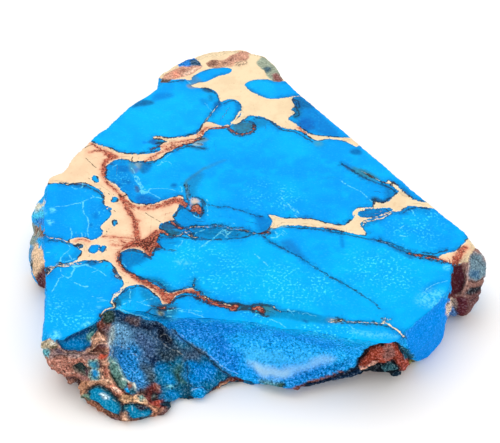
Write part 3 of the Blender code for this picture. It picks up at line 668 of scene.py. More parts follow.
# pale threads in the blue, and painted highlights along the sawn rim above the cove
THREADS_AND_RIM_HIGHLIGHTS = [
    (0.06, 0.07,
     "54,206.6 62,206.4 74,204 83,201.6 91,198.2 94,197.4 98,197.6 102,198.6 / 67,243 69,246 71.4,248"
     " 63,255.4 59.4,262"),
    (0.06, 0.06,
     "90,193.6 94.6,197.4 / 81,232 82,235 81.5,238 / 63.6,261.4 68,261 72,260 75.4,258.6 / 98,269.6"
     " 95,271 91.6,272.4 / 62,276 57.4,281.6 54,289 52,292 / 136,301 147,305 152,306 / 130,289 130.2,294"
     " 129.6,299 / 132,168 134,171.4 134.6,175 / 303,314 307,313 311,315.6 316,316"),
    (0.08, 0.09, "83.6,203 83,208 84,213 88.4,221 88,231 88.4,237"),
    (0.07, 0.07, "70,227 72,234 70.4,241 / 136,176 139,179 142.4,187 147,190 150,190"),
    (0.13, 0.11, "82.4,180.6 82.6,184 81.6,188"),
    (0.06, 0.05,
     "72,187.4 75,188.8 79,188.6 / 47,252 49.6,252.6 / 69.6,255 70.4,259 / 98,302 103,300.6 109,301 /"
     " 176,308.4 202,311.6 / 180,311.4 190,312.4 198,314.6 / 192,313 205,318 / 117,164.6 113.6,166.6"
     " 111.6,169.6 / 195,234 199,231.4 204,229.6 / 221,233 225,235.4 228,238 / 182.4,240 181,243.6"
     " 178,247 173,250 / 255,254 259,258 / 264,262 268,265.4 / 289,206 296,213 / 295,215 299,218.4"
     " 302,219.4 / 270,238 277,237.6 / 291,311 292.4,313.6 294,315.4 / 271,319 277,321.6 283,325.4"
     " 286,328 / 187,80.4 194,86.6 / 205,103 213,112.4 / 121,262.6 124.6,264 126,267"),
    (0.21, 0.13, "73,266 78,266.4 83,265 87,264.6"),
    (0.07, 0.06,
     "88,266.4 92,267 95,268.4 98,269.6 106.4,276 / 149,192 160,198.4 / 225,236.6 229,233 233,230.6"),
    (0.08, 0.07, "71,266 74.6,269.6 71.4,272.4 71.4,275 69,278 65,277 62,275 60.4,268.6"),
    (0.05, 0.13, "73,282 83,286 87.4,286.6"),
    (0.05, 0.05,
     "92,296 97,298 103,297.4 / 143,300.4 150,299.2 158,298.4 164,298.4 / 152,295.6 157,299 / 150,189"
     " 160,188.5 170,189 176,191 / 158,166 163,162.6 168,161 171,164 / 171,153.6 166,157.4 161,163 /"
     " 349,325 353,328 357,330.4 / 426,290.4 432,285.6 440,282.4 448,280.4 / 410,208 413,212 415,216"),
    (0.05, 0.08, "120,305.4 132,300.6"),
    (0.11, 0.08, "123,304.6 127,302.8 131,302 / 288,309.6 291,311.6 295,311.4"),
    (0.11, 0.1,
     "116,307 130,313 139,315.6 149,317.4 / 167,316.6 171,316.6 / 223,231.6 226,229.6 / 400,235.6"
     " 406,236"),
    (0.14, 0.13, "168,310.6 171.6,310.4"),
    (0.08, 0.08, "134,174 135,179 141,188 140,192 144,193.6 148,192.4"),
    (0.19, 0.14, "141,191 145,192 149,190.8"),
    (0.08, 0.06,
     "179.6,186.6 181.6,189 182.4,192 / 201,246.6 216,236 219,232.6 223,229.6 / 283,230 287,233 /"
     " 280.6,233.6 285,236 / 275.6,231.6 278,236 / 207.6,210 208,212 / 207.6,214 208,215.4 / 229.6,226.4"
     " 231,225.4 / 233,223.4 234.6,224"),
    (0.17, 0.13, "228,234 231.4,232.6"),
    (0.09, 0.06, "288,204 300,213.6"),
    (0.1, 0.08,
     "281,190.6 283.6,191.8 / 206.6,200 207.6,202 / 206.4,205 207.4,207.4 / 194,215 197,217.4"
     " 200.6,218.4"),
    (0.1, 0.06, "281,197.8 284,200 / 404,226 400,228"),
    (0.08, 0.05, "283,204.4 286.4,206.4"),
    (0.05, 0.07, "340,180 346,184.4 358,190.4 363,193.4 371,200.6 375,203"),
]
# strength, softness in mm, outline
SPECKLED = [
    (0.9, 2.0, "262,270 290,264 318,272 336,290 322,302 290,304 262,298 250,284"),
    (0.85, 2.0, "350,256 384,252 410,262 416,280 396,296 366,292 350,276"),
    (0.95, 0.8, "244,312 254,311 263,315 270,322 262,327 248,325 242,318"),
    (0.9, 0.8, "300,325 330,326 352,328 352,340 332,339 306,333"),
    (0.7, 2.0, "176,244 220,246 244,262 256,290 226,296 196,284 176,262"),
    (0.75, 1.2, "196,264 214,262 228,276 222,288 202,282"),
    (0.6, 2.0, "392,220 430,216 440,232 420,248 396,240"),
    (0.8, 1.2, "410,208 436,212 442,224 424,222 412,216"),
    (0.6, 1.5, "48,296 70,302 92,306 96,318 74,318 50,312"),
    (0.8, 1.0, "50,312 92,316 88,326 66,330 52,324"),
    (0.55, 2.0, "118,278 160,284 200,286 214,296 186,290 140,288"),
    (0.5, 1.5, "250,186 290,184 304,206 280,212 252,204"),
    (0.5, 1.2, "110,172 130,176 136,190 122,190 110,180"),
    (0.6, 1.2, "98,210 106,212 104,226 96,230 94,218"),
]
# strength, softness in mm, outline: pale worn spots, and painted highlights along the sawn rim of the left
# block and above the bowl
WORN_AND_RIM_HIGHLIGHTS = [
    (0.9, 0.4, "50,337 53,332 58,331 60,335 58,340 53,340.5"),
    (0.8, 0.4, "82,327 86,321 91,321.6 90,326"),
    (0.6, 0.5, "176,261 186,260.6 191,262.6 187,264.6 179,264.4"),
    (0.6, 0.9, "418,296 424,291 434,289 443,292 443,303 434,308 424,306 417,303"),
    (0.8, 0.25, "48,207 56.5,209.6 51.4,213.4 50,209.6"),
    (0.8, 0.25, "47,219.6 54.4,221 51.4,225.6 48.4,224"),
    (0.6, 0.3, "36,209 44,206 47,213 40,218 34,216"),
    (0.5, 0.6, "172,318 186,320 214,322 208,325 174,321"),
    (0.7, 0.2, "56,305.4 59,305.6 58.6,307.4 56,307"),
    (0.6, 0.2, "48.6,302 50,302.4 50.4,305 48.6,305"),
    (0.55, 0.25, "97,306 101,306.6 100,308.4 96.6,307.6"),
    (0.6, 0.3, "444,266 450,265 450,270 444,269.6"),
    (0.5, 0.5, "352,330 372,332 392,333 398,337 380,338 356,335"),
]

# The rind and the broken sides
# Weathered rind, crumbled matrix, blue pockets and the granular hollows that show below the sawn face,
# with painted shade under the overhangs and in hollows, and painted highlights on the bowl and on a salmon
# ridge.
# Each is one patch: its name, its colour, how softly it ends in mm, how coarse it is from 0 to 1, how far
# it stands out in mm, and its outline.
PATCHES = [
    ("mauve under the foot", (112, 78, 76), 0.4, 0.8, 0,
     "40,362 56,375 72,380 90,398 120,414 150,408 166,398 176,402 176,440 60,440 40,400"),
    # painted shade: the dark shadowed strip along the foot of the broken front
    ("dark foot of the broken front", (16, 44, 62), 0.4, 0.5, 0,
     "170,404 190,400 206,394 222,384 238,380 262,388 300,386 350,370 396,366 405,360 406,390 300,410"
     " 200,424 170,424"),
    ("mauve under the knob", (96, 62, 66), 0.4, 0.8, 0,
     "450,330 452,300 462,300 496,280 500,340 452,345"),
    ("front of the left block", (8, 98, 150), 0.15, 0.18, -0.15,
     "56,340 61,341 70,336 74,333.5 80,330 91,326 97,321.5 100,324 98,330 93,341 90,346 85,349.5"
     " 79,351.5 70,351.5 63,349 58,345"),
    # painted shade: the block's front is darker just below the sawn edge
    ("dark step below the sawn edge", (8, 62, 112), 0.3, 0.3, -0.1,
     "64,340 78,332 90,328 97,323.5 98,326 95,331 90,332 84,334.5 69,341"),
    ("dark teal by the crag", (12, 70, 92), 0.3, 0.4, 0, "89,328 96,323.5 98.5,326 96,333 92,337 88,334"),
    # painted light: the block's front is lighter towards its foot, the other end of that painted shade
    ("bright foot of the block", (0, 124, 190), 0.35, 0.2, 0,
     "65,342 74,340.5 82,341.5 85,345 78,348.5 69,348 63,345"),
    ("green end of the block", (74, 132, 124), 0.25, 0.5, 0, "87,335 92,332.5 93.5,337 91,342 87,341"),
    ("rind under the left block", (172, 120, 100), 0.15, 1.0, 0,
     "42,343 50,338 56,342 62,349 70,351.5 79,352 85.5,350 91,346 94,341 101,322 104,316 113,312 114,322"
     " 110,338 108,360 110,372 113,380 124,392 134,395 146,388 152,382 158,386 164,392 168,398 166,406"
     " 160,414 150,422 135,426 122,428 110,422 92,414 80,406 72,402 68,390 66,380 58,377 48,368 40,360"
     " 36,348"),
    ("pink lobe", (180, 118, 100), 0.3, 0.7, 0.25,
     "47,359 56,358 64,358.5 72,357 79,357 84,360 88,365 89,372 86,377 80,379 68,377 48,370"),
    # painted shade under the overhanging low edge of the pink lobe
    ("dark low edge of the lobe", (96, 60, 58), 0.25, 0.9, -0.3,
     "50,366 56,369 61,373 66,376 74,377 77,380 70,381 62,379 52,372"),
    ("mauve band", (156, 128, 126), 0.3, 0.8, 0.1,
     "50,352 56,350 62,352 80,353 88,352 92,354 86,357.5 80,356 72,356 64,357.5 49,358"),
    ("dark mauve at the corner", (92, 72, 84), 0.3, 0.8, -0.15,
     "55,350 59,349.5 62,352 61,355 57,355 54.5,353"),
    ("crumbled rim", (186, 170, 142), 0.2, 1.0, 0.15,
     "40,344 46,339 51,338.5 56,341.5 59,345 58,348 53,350 47,350 42,349"),
    ("white crumb", (226, 224, 210), 0.15, 0.8, 0.2, "49,342 53,340.5 56,342.5 54,345 50,345"),
    ("olive crumb", (116, 106, 78), 0.2, 1.0, 0, "50,346 55,346 58,349 55,351 50,350"),
    ("blue-green tip", (92, 168, 182), 0.25, 0.6, 0, "40,349 45,348 49,352 48.5,357 43,357"),
    ("tan crag", (224, 168, 136), 0.15, 1.0, 0.2,
     "92,338 96,333 99,330.5 106,337 108,342 108,350 98,349 90,349.5 92,344"),
    ("red-brown hollow of the crag", (132, 78, 68), 0.2, 1.0, -0.45,
     "95,347.5 99,344.5 104,343.5 107,345.5 106.5,349 95,350.5 91,351.5"),
    ("brown under the olive", (126, 70, 58), 0.25, 1.0, -0.15,
     "98,325.5 101,320.5 106,321 109,325 108,329 104,331 100,330 98,328"),
    ("mauve crumb", (142, 102, 96), 0.25, 1.0, 0, "103,329 109,327.5 110,333 109,338 105,336"),
    ("olive corner", (54, 80, 72), 0.2, 0.5, -0.2,
     "103.5,314.5 107,311.5 112,310 116,313 115,319 113,322.5 107,323 104,319.5"),
    ("mauve by the red spot", (164, 126, 120), 0.25, 0.9, 0, "83,353.5 97,354.5 97.5,358 90,360 84,359"),
    ("red spot", (216, 92, 66), 0.12, 0.7, 0.15,
     "97.5,357 101,354 107.5,354 107.5,357.5 103,359.8 98.5,360"),
    ("salmon column", (212, 158, 130), 0.25, 0.9, 0.1,
     "99,360.5 109,359 110,370 113,380 106,382 100,381 98,372"),
    ("mauve-red by the patches", (150, 94, 90), 0.2, 0.9, -0.1, "98,361.5 101,361 101.5,367 98.5,368"),
    ("red streak", (178, 106, 86), 0.25, 1.0, -0.1, "103.5,365 107.5,365 109,378 105,379 103,372"),
    ("pale rim of the eye", (128, 136, 124), 0.25, 0.6, 0,
     "73.5,366 79,362.5 85,365 89,370.5 88.5,375 84,375.5 78,372.5 74,369"),
    ("green eye", (48, 66, 66), 0.2, 0.3, -0.45,
     "75,366 79.5,364 84,366.5 86.5,370.5 84,372.5 79,371 75.5,368.5"),
    ("mauve tail of the eye", (112, 80, 88), 0.2, 0.8, -0.1,
     "84,370 87.5,370.5 90,375 88,377 84.5,374.5"),
    ("mauve under the lobe", (162, 112, 106), 0.3, 0.9, 0, "78,374 89,378 90,382 85,382.5 80,380"),
    ("pale rim of the blue patches", (142, 178, 166), 0.2, 0.6, 0.1,
     "88.5,359.5 93,358.3 98,359 99,363 98.5,368 100,374 99.5,379.5 96,381 91,380.5 88.5,376 89.5,370"
     " 88.5,364"),
    ("blue-green patch", (56, 142, 172), 0.25, 0.15, -0.3,
     "90,361 94,359.8 97.3,361 98,365 96,368 92,368.3 90,365.5"),
    ("dark end of the patch", (42, 74, 104), 0.15, 0.3, 0, "95,361 97.8,361.5 98.5,366 96,367"),
    ("blue patch", (30, 142, 206), 0.25, 0.15, -0.3,
     "90.5,370 94,368.5 97.3,369.5 98,373.5 96,375.5 92,375 90.3,373"),
    ("teal end of the patch", (42, 116, 146), 0.15, 0.3, -0.2,
     "91,375 96,375 98.5,376.5 97,379.5 92.5,379.3"),
    ("brown pillar", (194, 138, 104), 0.25, 1.0, 0.2,
     "78,381 84,379.5 89,381 92,382.5 84,396 80,399.5 77,396 77.5,388"),
    # painted shade on the pillar's left side, beside the shadowed notch
    ("dark side of the pillar", (84, 58, 54), 0.25, 0.9, -0.4,
     "72,377.5 76.5,378.5 78,382 77.3,396 79,400 74,400 70,390"),
    ("cream ridge", (202, 150, 118), 0.3, 0.9, 0.3,
     "88,384 92,381.3 98,380 106,380 112,381 113,384 108,385 96,383.2 91,385.3"),
    # painted shade in the gap under the cream ridge
    ("dark under the cream ridge", (74, 44, 40), 0.12, 0.6, -0.4,
     "116,383.5 119,385 127,392 131,394 129,395.5 124,393.4 120,388.8"),
    ("salmon ridge", (220, 142, 114), 0.2, 0.8, 0.35,
     "105,386 111,384.4 118,385.6 122.6,389 124.6,393.6 122,397.4 117,397 111,392.6 106,389.4"),
    # painted highlight on the salmon ridge
    ("salmon light", (240, 200, 176), 0.12, 0.8, 0.1,
     "111,387.8 117,388 120.5,390.5 121.5,393.5 118,393 113,390.3"),
    ("brown under the salmon", (128, 76, 58), 0.2, 1.0, -0.1, "114,394.5 124,398 122,403.5 119,402"),
    ("cream foot", (210, 162, 120), 0.2, 0.8, 0.15,
     "119,399 122,395 126,394 133,395.5 140,395.5 147,397.5 150,402 147,404 134,401.5 121,404"),
    ("teal fleck in the cream", (122, 164, 156), 0.3, 0.5, 0, "138,396 144,395.5 146,399.5 141,401"),
    ("red foot", (142, 60, 52), 0.2, 1.0, 0,
     "146,388 150,382 152,381 158,389 163,393 168,399 164,408 158,409.5 153,405 148,402 146,396"),
    ("bright red of the foot", (178, 74, 58), 0.2, 1.0, 0.1,
     "150,401 156,400 162,400.5 164,404 160,408 154,405"),
    ("dark foot", (58, 46, 50), 0.2, 0.8, -0.4, "152,389 156,388.5 165,396 163,399 157,399 152.5,396"),
    ("grey-green of the foot", (104, 116, 108), 0.2, 0.8, 0, "151,392 154.5,391 156.5,395 153,397"),
    ("orange foot", (210, 140, 104), 0.2, 0.9, 0.1,
     "148,403.5 152,404 156,407 161,409 158,413 152,419 149.5,415 152,411"),
    ("rim of the long pocket", (30, 76, 88), 0.15, 0.4, -0.3,
     "85.5,389.5 90,385.6 95,384 101,384.6 107,387.8 117,397.5 120,403 121,413 118,416.5 103,407.5"
     " 96,403.5 84.5,396.5"),
    ("long blue pocket", (4, 130, 174), 0.3, 0.18, 0.15,
     "88,391 92,388 97,387.2 101,388.5 105,391.5 109,395.5 117,405 119,410 117,413.5 110,410.5 89.5,397"),
    ("green low rim of the pocket", (106, 142, 122), 0.2, 0.8, 0.1,
     "79.5,397 84,394.5 88,396.5 92,400.5 88,402 82,400.5"),
    ("brown low rim of the pocket", (160, 104, 78), 0.2, 1.0, 0.1,
     "84,400.5 90,401 97,404.5 110,412.8 116,416.3 112,417.5 96,410.5 88,406"),
    ("pale fleck", (196, 224, 236), 0.2, 0.5, 0.1, "101,394.5 104,393.5 108,397 106.5,399.5 103,398.5"),
    ("rim of the round pocket", (18, 76, 96), 0.15, 0.4, -0.3,
     "119.5,406.5 124,403.5 131,402 139,403 145,405 151,408.5 152.5,414 147,418 140,420.3 133,420.3"
     " 127,417.5 122,413"),
    ("round blue pocket", (4, 130, 176), 0.3, 0.18, 0.1,
     "124,409.5 128,406 134,405.5 144,411.5 149,412.5 147,416.5 139,419 132,418 127,414"),
    ("teal in the round pocket", (16, 96, 112), 0.3, 0.5, 0,
     "120,407.5 126,404.5 131,404.5 128,409 122,411"),
    ("purple fleck", (58, 52, 72), 0.2, 0.5, 0, "138,404.8 146,405.8 149,409 145,410.5 139,408.5"),
    ("foot rim", (112, 74, 76), 0.2, 0.9, -0.1,
     "78,400.5 88,406.8 96,411 112,418 120,419.5 122,423 108,421 94,415 82,408"),
    ("cream toe", (198, 150, 120), 0.2, 1.0, 0.2,
     "122.5,416 125,411.5 128,415 130.5,420 128,424 122,423.5 120.5,420"),
    ("cove", (70, 116, 152), 0.2, 0.5, 0,
     "110,330 112,322.5 115,319.5 116,312 118,309.5 130,314 150,320 165,326 178,333 205,353 231,374"
     " 222,381 214,388 208,395 200,401 190,404 178,406 166,405 158,386 152,381 146,388 138,393 130,391"
     " 122,385 114,380 110,368 109,350"),
    ("shadowed brow", (30, 46, 74), 0.9, 0.5, 0,
     "114,312 140,319 155,324 168,329 176,335 178,345 170,349 163,346 157,338 149,332 138,328 128,326"
     " 118,322"),
    # painted shade under the overhang of the sawn edge
    ("navy below the sawn edge", (8, 52, 92), 0.4, 0.3, 0,
     "113,309.5 118,309.5 126,312.5 134,315 128,317.5 119,318 115,316"),
    ("brown grains of the brow", (104, 88, 92), 0.4, 0.7, 0,
     "126,317 134,317 141,320.5 139,325 132,325 126,322"),
    # painted shade at the end of the shadowed brow
    ("dark brow's end", (18, 26, 44), 0.5, 0.4, 0,
     "156,331 163,331 171,335 175,340 172,345 164,344 158,338"),
    ("pale grain", (108, 168, 208), 0.9, 0.6, 0,
     "110,329 113,324 120,325 127,328 133,334 134,343 128,347 118,346 110,346"),
    ("cream grain at the edge", (158, 178, 180), 0.5, 0.8, 0.1,
     "108.5,331 111,326 114,325 116,330 115,338 112,344 109,344"),
    ("bright grain", (30, 146, 218), 1.2, 0.5, 0,
     "113,350 122,346 134,345 141,352 143,364 141,378 144,386 136,388 131,382 125,377 119,369 114,359"),
    ("grey grain", (76, 108, 150), 1.1, 0.6, 0, "136,332 148,334 158,343 160,353 146,364 139,344"),
    ("navy hollow", (24, 50, 88), 0.6, 0.5, -0.3, "149,356 155,354 159,358 157,364 151,368 147,364"),
    ("dark grain", (44, 66, 82), 1.0, 0.6, 0, "160,345 182,350 186,358 180,364 170,364 162,360 157,352"),
    ("grey below the hollow", (66, 86, 98), 0.9, 0.6, 0,
     "145,366 152,368 156,374 153,380 147,384 144,376"),
    ("green fringe", (98, 142, 132), 0.35, 0.8, 0.15,
     "109,357 112.5,359 117,366 124,379.5 127,384 122,388 113,379 109.5,370"),
    ("pale inside of the fringe", (122, 172, 182), 0.5, 0.6, 0,
     "112.5,359 117,362 125,376 122,377 114,364"),
    ("dark root of the fringe", (48, 74, 60), 0.15, 0.6, -0.2,
     "110,370 112,374 120,385 118,385 113.5,380.5 110,375"),
    ("white crust", (214, 226, 216), 0.1, 0.5, 0.2,
     "120,377.5 124,380 130,381.5 134,384.5 136.5,389 134.8,390 131,385.5 121,380"),
    ("brown bit", (158, 94, 72), 0.15, 0.9, 0, "126,383.3 130.5,382.8 132.2,386.5 128,388"),
    ("teal hole", (30, 88, 108), 0.2, 0.4, -0.3, "127,388.5 132,386.5 136.5,390.5 134,393.5 129,392.5"),
    ("brown under the cove", (112, 84, 70), 0.3, 0.9, 0,
     "136,391 141,388.5 147,388 147,392 141,393.5 136,394"),
    ("apron", (12, 108, 146), 0.4, 0.35, 0,
     "158,362 170,360 186,352 198,350 224,371 230,376 220,382 212,389 206,398 196,402 186,404 178,406"
     " 168,404 154,380 155,368"),
    ("grey apron", (66, 92, 118), 0.9, 0.4, 0, "183,348 192,345 200,351 206,357 196,361 186,362 182,356"),
    ("green apron", (50, 98, 96), 1.0, 0.35, 0, "176,362 184,362 188,372 188,384 182,388 177,380"),
    ("teal apron", (24, 100, 134), 0.9, 0.35, 0, "178,337 188,342 193,348 190,351 182,349 178,344"),
    ("apron blue 1", (0, 122, 186), 0.7, 0.3, 0.1, "155,364 162,362 165,369 160,373 156,371"),
    ("apron blue 2", (8, 142, 212), 0.8, 0.3, 0.2, "159,375 166,373.5 172,376 173,382 167,385 160,383"),
    ("apron cyan", (76, 166, 188), 0.3, 0.7, 0.1, "164,386 169,384.5 173,386 172,390.5 166,391"),
    ("apron blue 3", (0, 132, 196), 0.7, 0.3, 0.15, "165,393 171,391 177,393 179,398 174,402.5 167,401"),
    ("apron blue 4", (0, 136, 214), 1.1, 0.35, 0.25,
     "189,365 200,362 208,364 214,370 214,378 207,384 197,386 190,380"),
    ("apron dark seam", (14, 72, 98), 0.6, 0.4, -0.3,
     "178,387 186,384 192,386 190,392 190,400 184,401 179,396"),
    ("apron blue 5", (4, 148, 220), 0.5, 0.35, 0.25,
     "192,389 198,386.5 204,388 206,392 203,397 196,398 192,396"),
    ("apron's brown edge", (112, 54, 42), 0.12, 0.9, 0.1,
     "206.5,396 211,391 223,381.5 229,377 233,376 238,377.8 245,381.5 240,382 234,380.5 228,382 221,386"
     " 215,391 210,397"),
    ("cream on the brown edge", (206, 152, 118), 0.12, 0.9, 0.15,
     "209.5,394 214,389.7 220,385.5 231,379.3 229,381.8 222,386 216,390.5 211,395.5"),
    # painted shade along the apron's foot, where it meets the table
    ("dark foot of the apron", (14, 48, 64), 0.2, 0.4, 0,
     "162,401.4 168,402.6 181,403 192,398.2 199,398.6 206,396 208,400 182,410 168,410 158,404"),
    ("low teal strip", (14, 88, 114), 0.2, 0.4, -0.2,
     "216,391 222,386 229,382.5 236,381.5 246,383 264,390 264,396 240,394 218,396"),
    ("dark end of the strip", (10, 52, 78), 0.3, 0.4, -0.1, "244,383 266,390.5 264,395 250,393 243,389"),
    ("bowl", (16, 164, 242), 0.5, 0.25, 0,
     "172,325 185,321.5 200,322 240,326 290,334 320,340 345,346 360,347 374,347 368,352 361,358 356,366"
     " 345,373 330,381 310,389 295,394 280,395 262,391 250,382 236,375 222,366 180,334"),
    ("upper band of the bowl", (6, 138, 226), 0.9, 0.3, 0,
     "172,324 185,321 205,322 230,325 262,330 340,345 350,350 320,347 290,342 262,338 236,333 210,332"
     " 190,334 180,331"),
    ("deep side of the bowl", (16, 136, 222), 1.3, 0.35, 0,
     "180,326 200,328 220,333 230,345 238,358 236,370 222,363 192,342 182,333"),
    ("middle of the bowl", (30, 182, 254), 1.6, 0.3, 0,
     "236,334 262,334 345,350 352,358 335,368 300,366 262,362 242,350"),
    # painted highlight: the lighter glow around the bowl's pale band
    ("light of the bowl", (66, 198, 255), 1.2, 0.15, 0,
     "242,352 256,350 280,354 305,356 330,356 322,361 300,364 276,364 258,362 246,358"),
    # painted highlight: the pale reflection across the low bowl, with its heart below
    ("pale band", (150, 214, 252), 0.7, 0.06, 0,
     "250,359 258,363.5 272,366 286,366 330,356.5 336,358 328,362.5 312,367.5 300,371 290,376 280,378.5"
     " 268,378 258,374 252,367"),
    ("heart of the pale band", (178, 220, 240), 0.5, 0.05, 0,
     "256,366.5 266,368.3 280,369 290,368.8 286,374 276,376.5 264,375 257,371"),
    ("low right of the bowl", (14, 140, 216), 0.9, 0.4, 0,
     "286,378 300,373 352,358 356,364 344,372 310,386 294,390 284,388"),
    ("grey-teal low edge", (92, 152, 164), 0.4, 0.5, 0,
     "258,378 266,380 276,380.5 283,382 278,391 270,389 262,385"),
    ("olive dot", (50, 80, 58), 0.25, 0.5, -0.1, "278,384.5 282,382.5 285.5,385 283,388.5 279,388.5"),
    ("brown lip", (130, 76, 62), 0.12, 0.9, 0.1,
     "284,388.6 292,387.6 324,376.6 336,373 344,369.6 345,371.4 336,375.4 312,383.6 300,388.4 292,390.6"
     " 285,391.4"),
    # painted shade under the bowl's low rim
    ("bowl low rim", (16, 40, 70), 0.2, 0.5, -0.2,
     "274,390 286,390.6 296,388.8 342,373 352,368.5 358,366.5 362,378 340,390 310,400 284,402 264,394"),
    ("dark rim of the rust arch", (36, 22, 26), 0.15, 0.8, -0.4,
     "355,368 357,361 361,355.5 365,350.5 371.5,346.8 379.5,344.5 385.5,342 393,340.5 398.5,344.5"
     " 404.5,351 414.5,364.5 412,372 404,374.5 398,372 360,372"),
    ("rust arch", (166, 70, 48), 0.15, 0.9, 0.1,
     "357.5,367.5 361,361 370.5,350.5 377,348.2 384,347 388,344 392.5,343.5 398,348 403,354.5 413,366"
     " 411,371.5 404.5,372 397,362.8 391,361 386,363 379,364 374,363 368,366"),
    ("pink middle of the arch", (156, 104, 96), 0.3, 0.9, 0,
     "384,347.5 390,344.5 394,349 396,358 388,361 382,358"),
    ("red leg of the arch", (166, 76, 64), 0.25, 0.9, 0, "396,352 402,357 407,364 405,369 400,361"),
    ("cream lip of the arch", (230, 174, 152), 0.12, 0.8, 0.3,
     "358,368 367,365 374,362 379,362.2 373,365.7 364,368.5"),
    # painted shade in the hollow under the rust arch
    ("hollow under the arch", (10, 14, 24), 0.2, 0.4, -0.5,
     "362,369.5 370,367 387,364.5 394,364.3 398,367.5 401,372 396,375 386,378 374,378 362,376"),
    ("teal in the hollow", (50, 92, 102), 0.3, 0.5, 0,
     "381,368 388,366.3 394,366.3 398,370 392,373 384,373"),
    ("olive toe", (150, 148, 84), 0.2, 0.8, 0, "409,366 414,361 418,363 415,368"),
    ("teal by the arch", (20, 92, 118), 0.3, 0.4, 0, "399,344 408,349 415,356 413,361 407,359 403,352"),
    ("deep blue facet", (0, 136, 230), 0.4, 0.1, 0,
     "407,331 415,322 426,313 436,303 445,296 452,300 450,322 446,337 440,348 430,356 420,361 412,354"
     " 405,342"),
    ("right knob", (146, 106, 96), 0.25, 0.25, 0.2,
     "452,297 454,285 455,266 468,262 474,250 486,250 494,270 494,292 474,316 462,324 454,316 451,304"),
    ("maroon sheet", (86, 36, 44), 0.15, 0.12, -0.3,
     "453.5,266 464,265 464.5,275 462,285 459,292 454,299 449,299 452,288 453.5,276"),
    ("pink strip", (186, 138, 122), 0.2, 0.25, 0.15,
     "464.5,262 470,262 469,275 466,288 461.5,293 464,280"),
    ("grey-blue knob patch", (112, 140, 154), 0.35, 0.25, 0.15,
     "469,263 473,253 481,257 486,266 486,275 481,280 470,280 468,272"),
    ("blue in the knob patch", (60, 100, 134), 0.4, 0.25, 0.1, "470,270 478,270 479,278 471,278"),
    # painted shade in the crevice between the knob's grey-blue patch and its toe
    ("black band", (40, 38, 44), 0.3, 0.25, 0.15, "463,293 470,287 480,285.5 492,285 484,292 468,295.5"),
    ("dark maroon toe", (92, 36, 44), 0.3, 0.25, 0,
     "455,298 461,295.5 466,299 468,308 465,316 459,321 454,314"),
    ("mauve toe", (110, 72, 72), 0.4, 0.25, 0.4,
     "465,296.5 476,291.5 488,288 488,297 480,305 473,311 467.5,314 468.5,306 466.5,300"),
    ("cream under the corner", (226, 200, 180), 0.15, 0.8, 0.1,
     "447,306 451.5,298 455,299 455,310 450.5,309 447.5,320 445,312"),
    ("grey-blue under the corner", (98, 144, 194), 0.25, 0.4, 0,
     "447.5,313 451.5,309.5 456,312 456,326 446,336 445.5,322"),
    ("white on the left lump", (212, 212, 192), 0.5, 0.5, 0,
     "35,208 38,203 41,204.6 42.6,199 46,200.6 44.6,206 42,206.6 40.4,211 37,212"),
    ("cyan on the left lump", (60, 190, 232), 0.7, 0.4, 0, "31,215 40,210 45,212 44,218 35,220"),
    ("blue on the left lump", (20, 122, 206), 0.2, 0.4, 0, "33,219 44,218 45,227 38,223"),
    ("grey left lump", (130, 146, 142), 0.6, 0.25, 0.2,
     "33,222 38,224 40,232 38,243 33,246 28,243 24,236 28,228"),
    ("brown edge of the lump", (142, 102, 78), 0.5, 0.8, 0, "38,225 42,228 43,234 39,236"),
    ("cream left lump", (226, 192, 156), 0.5, 0.25, 0.2,
     "34,246 38,243 44,256 45.5,262 42,270 36,280 32,271 31,262"),
    ("blue-grey sliver", (96, 146, 182), 0.7, 0.4, 0, "28,246 33.5,247 34,262 29,262"),
    ("dark sliver", (62, 74, 76), 0.5, 0.6, -0.2, "28,263 33,262 34,270 30,272"),
    ("maroon left toe", (92, 44, 50), 0.5, 0.5, 0, "43,265 46,268 46,287 41,288 34,281 38,272"),
]
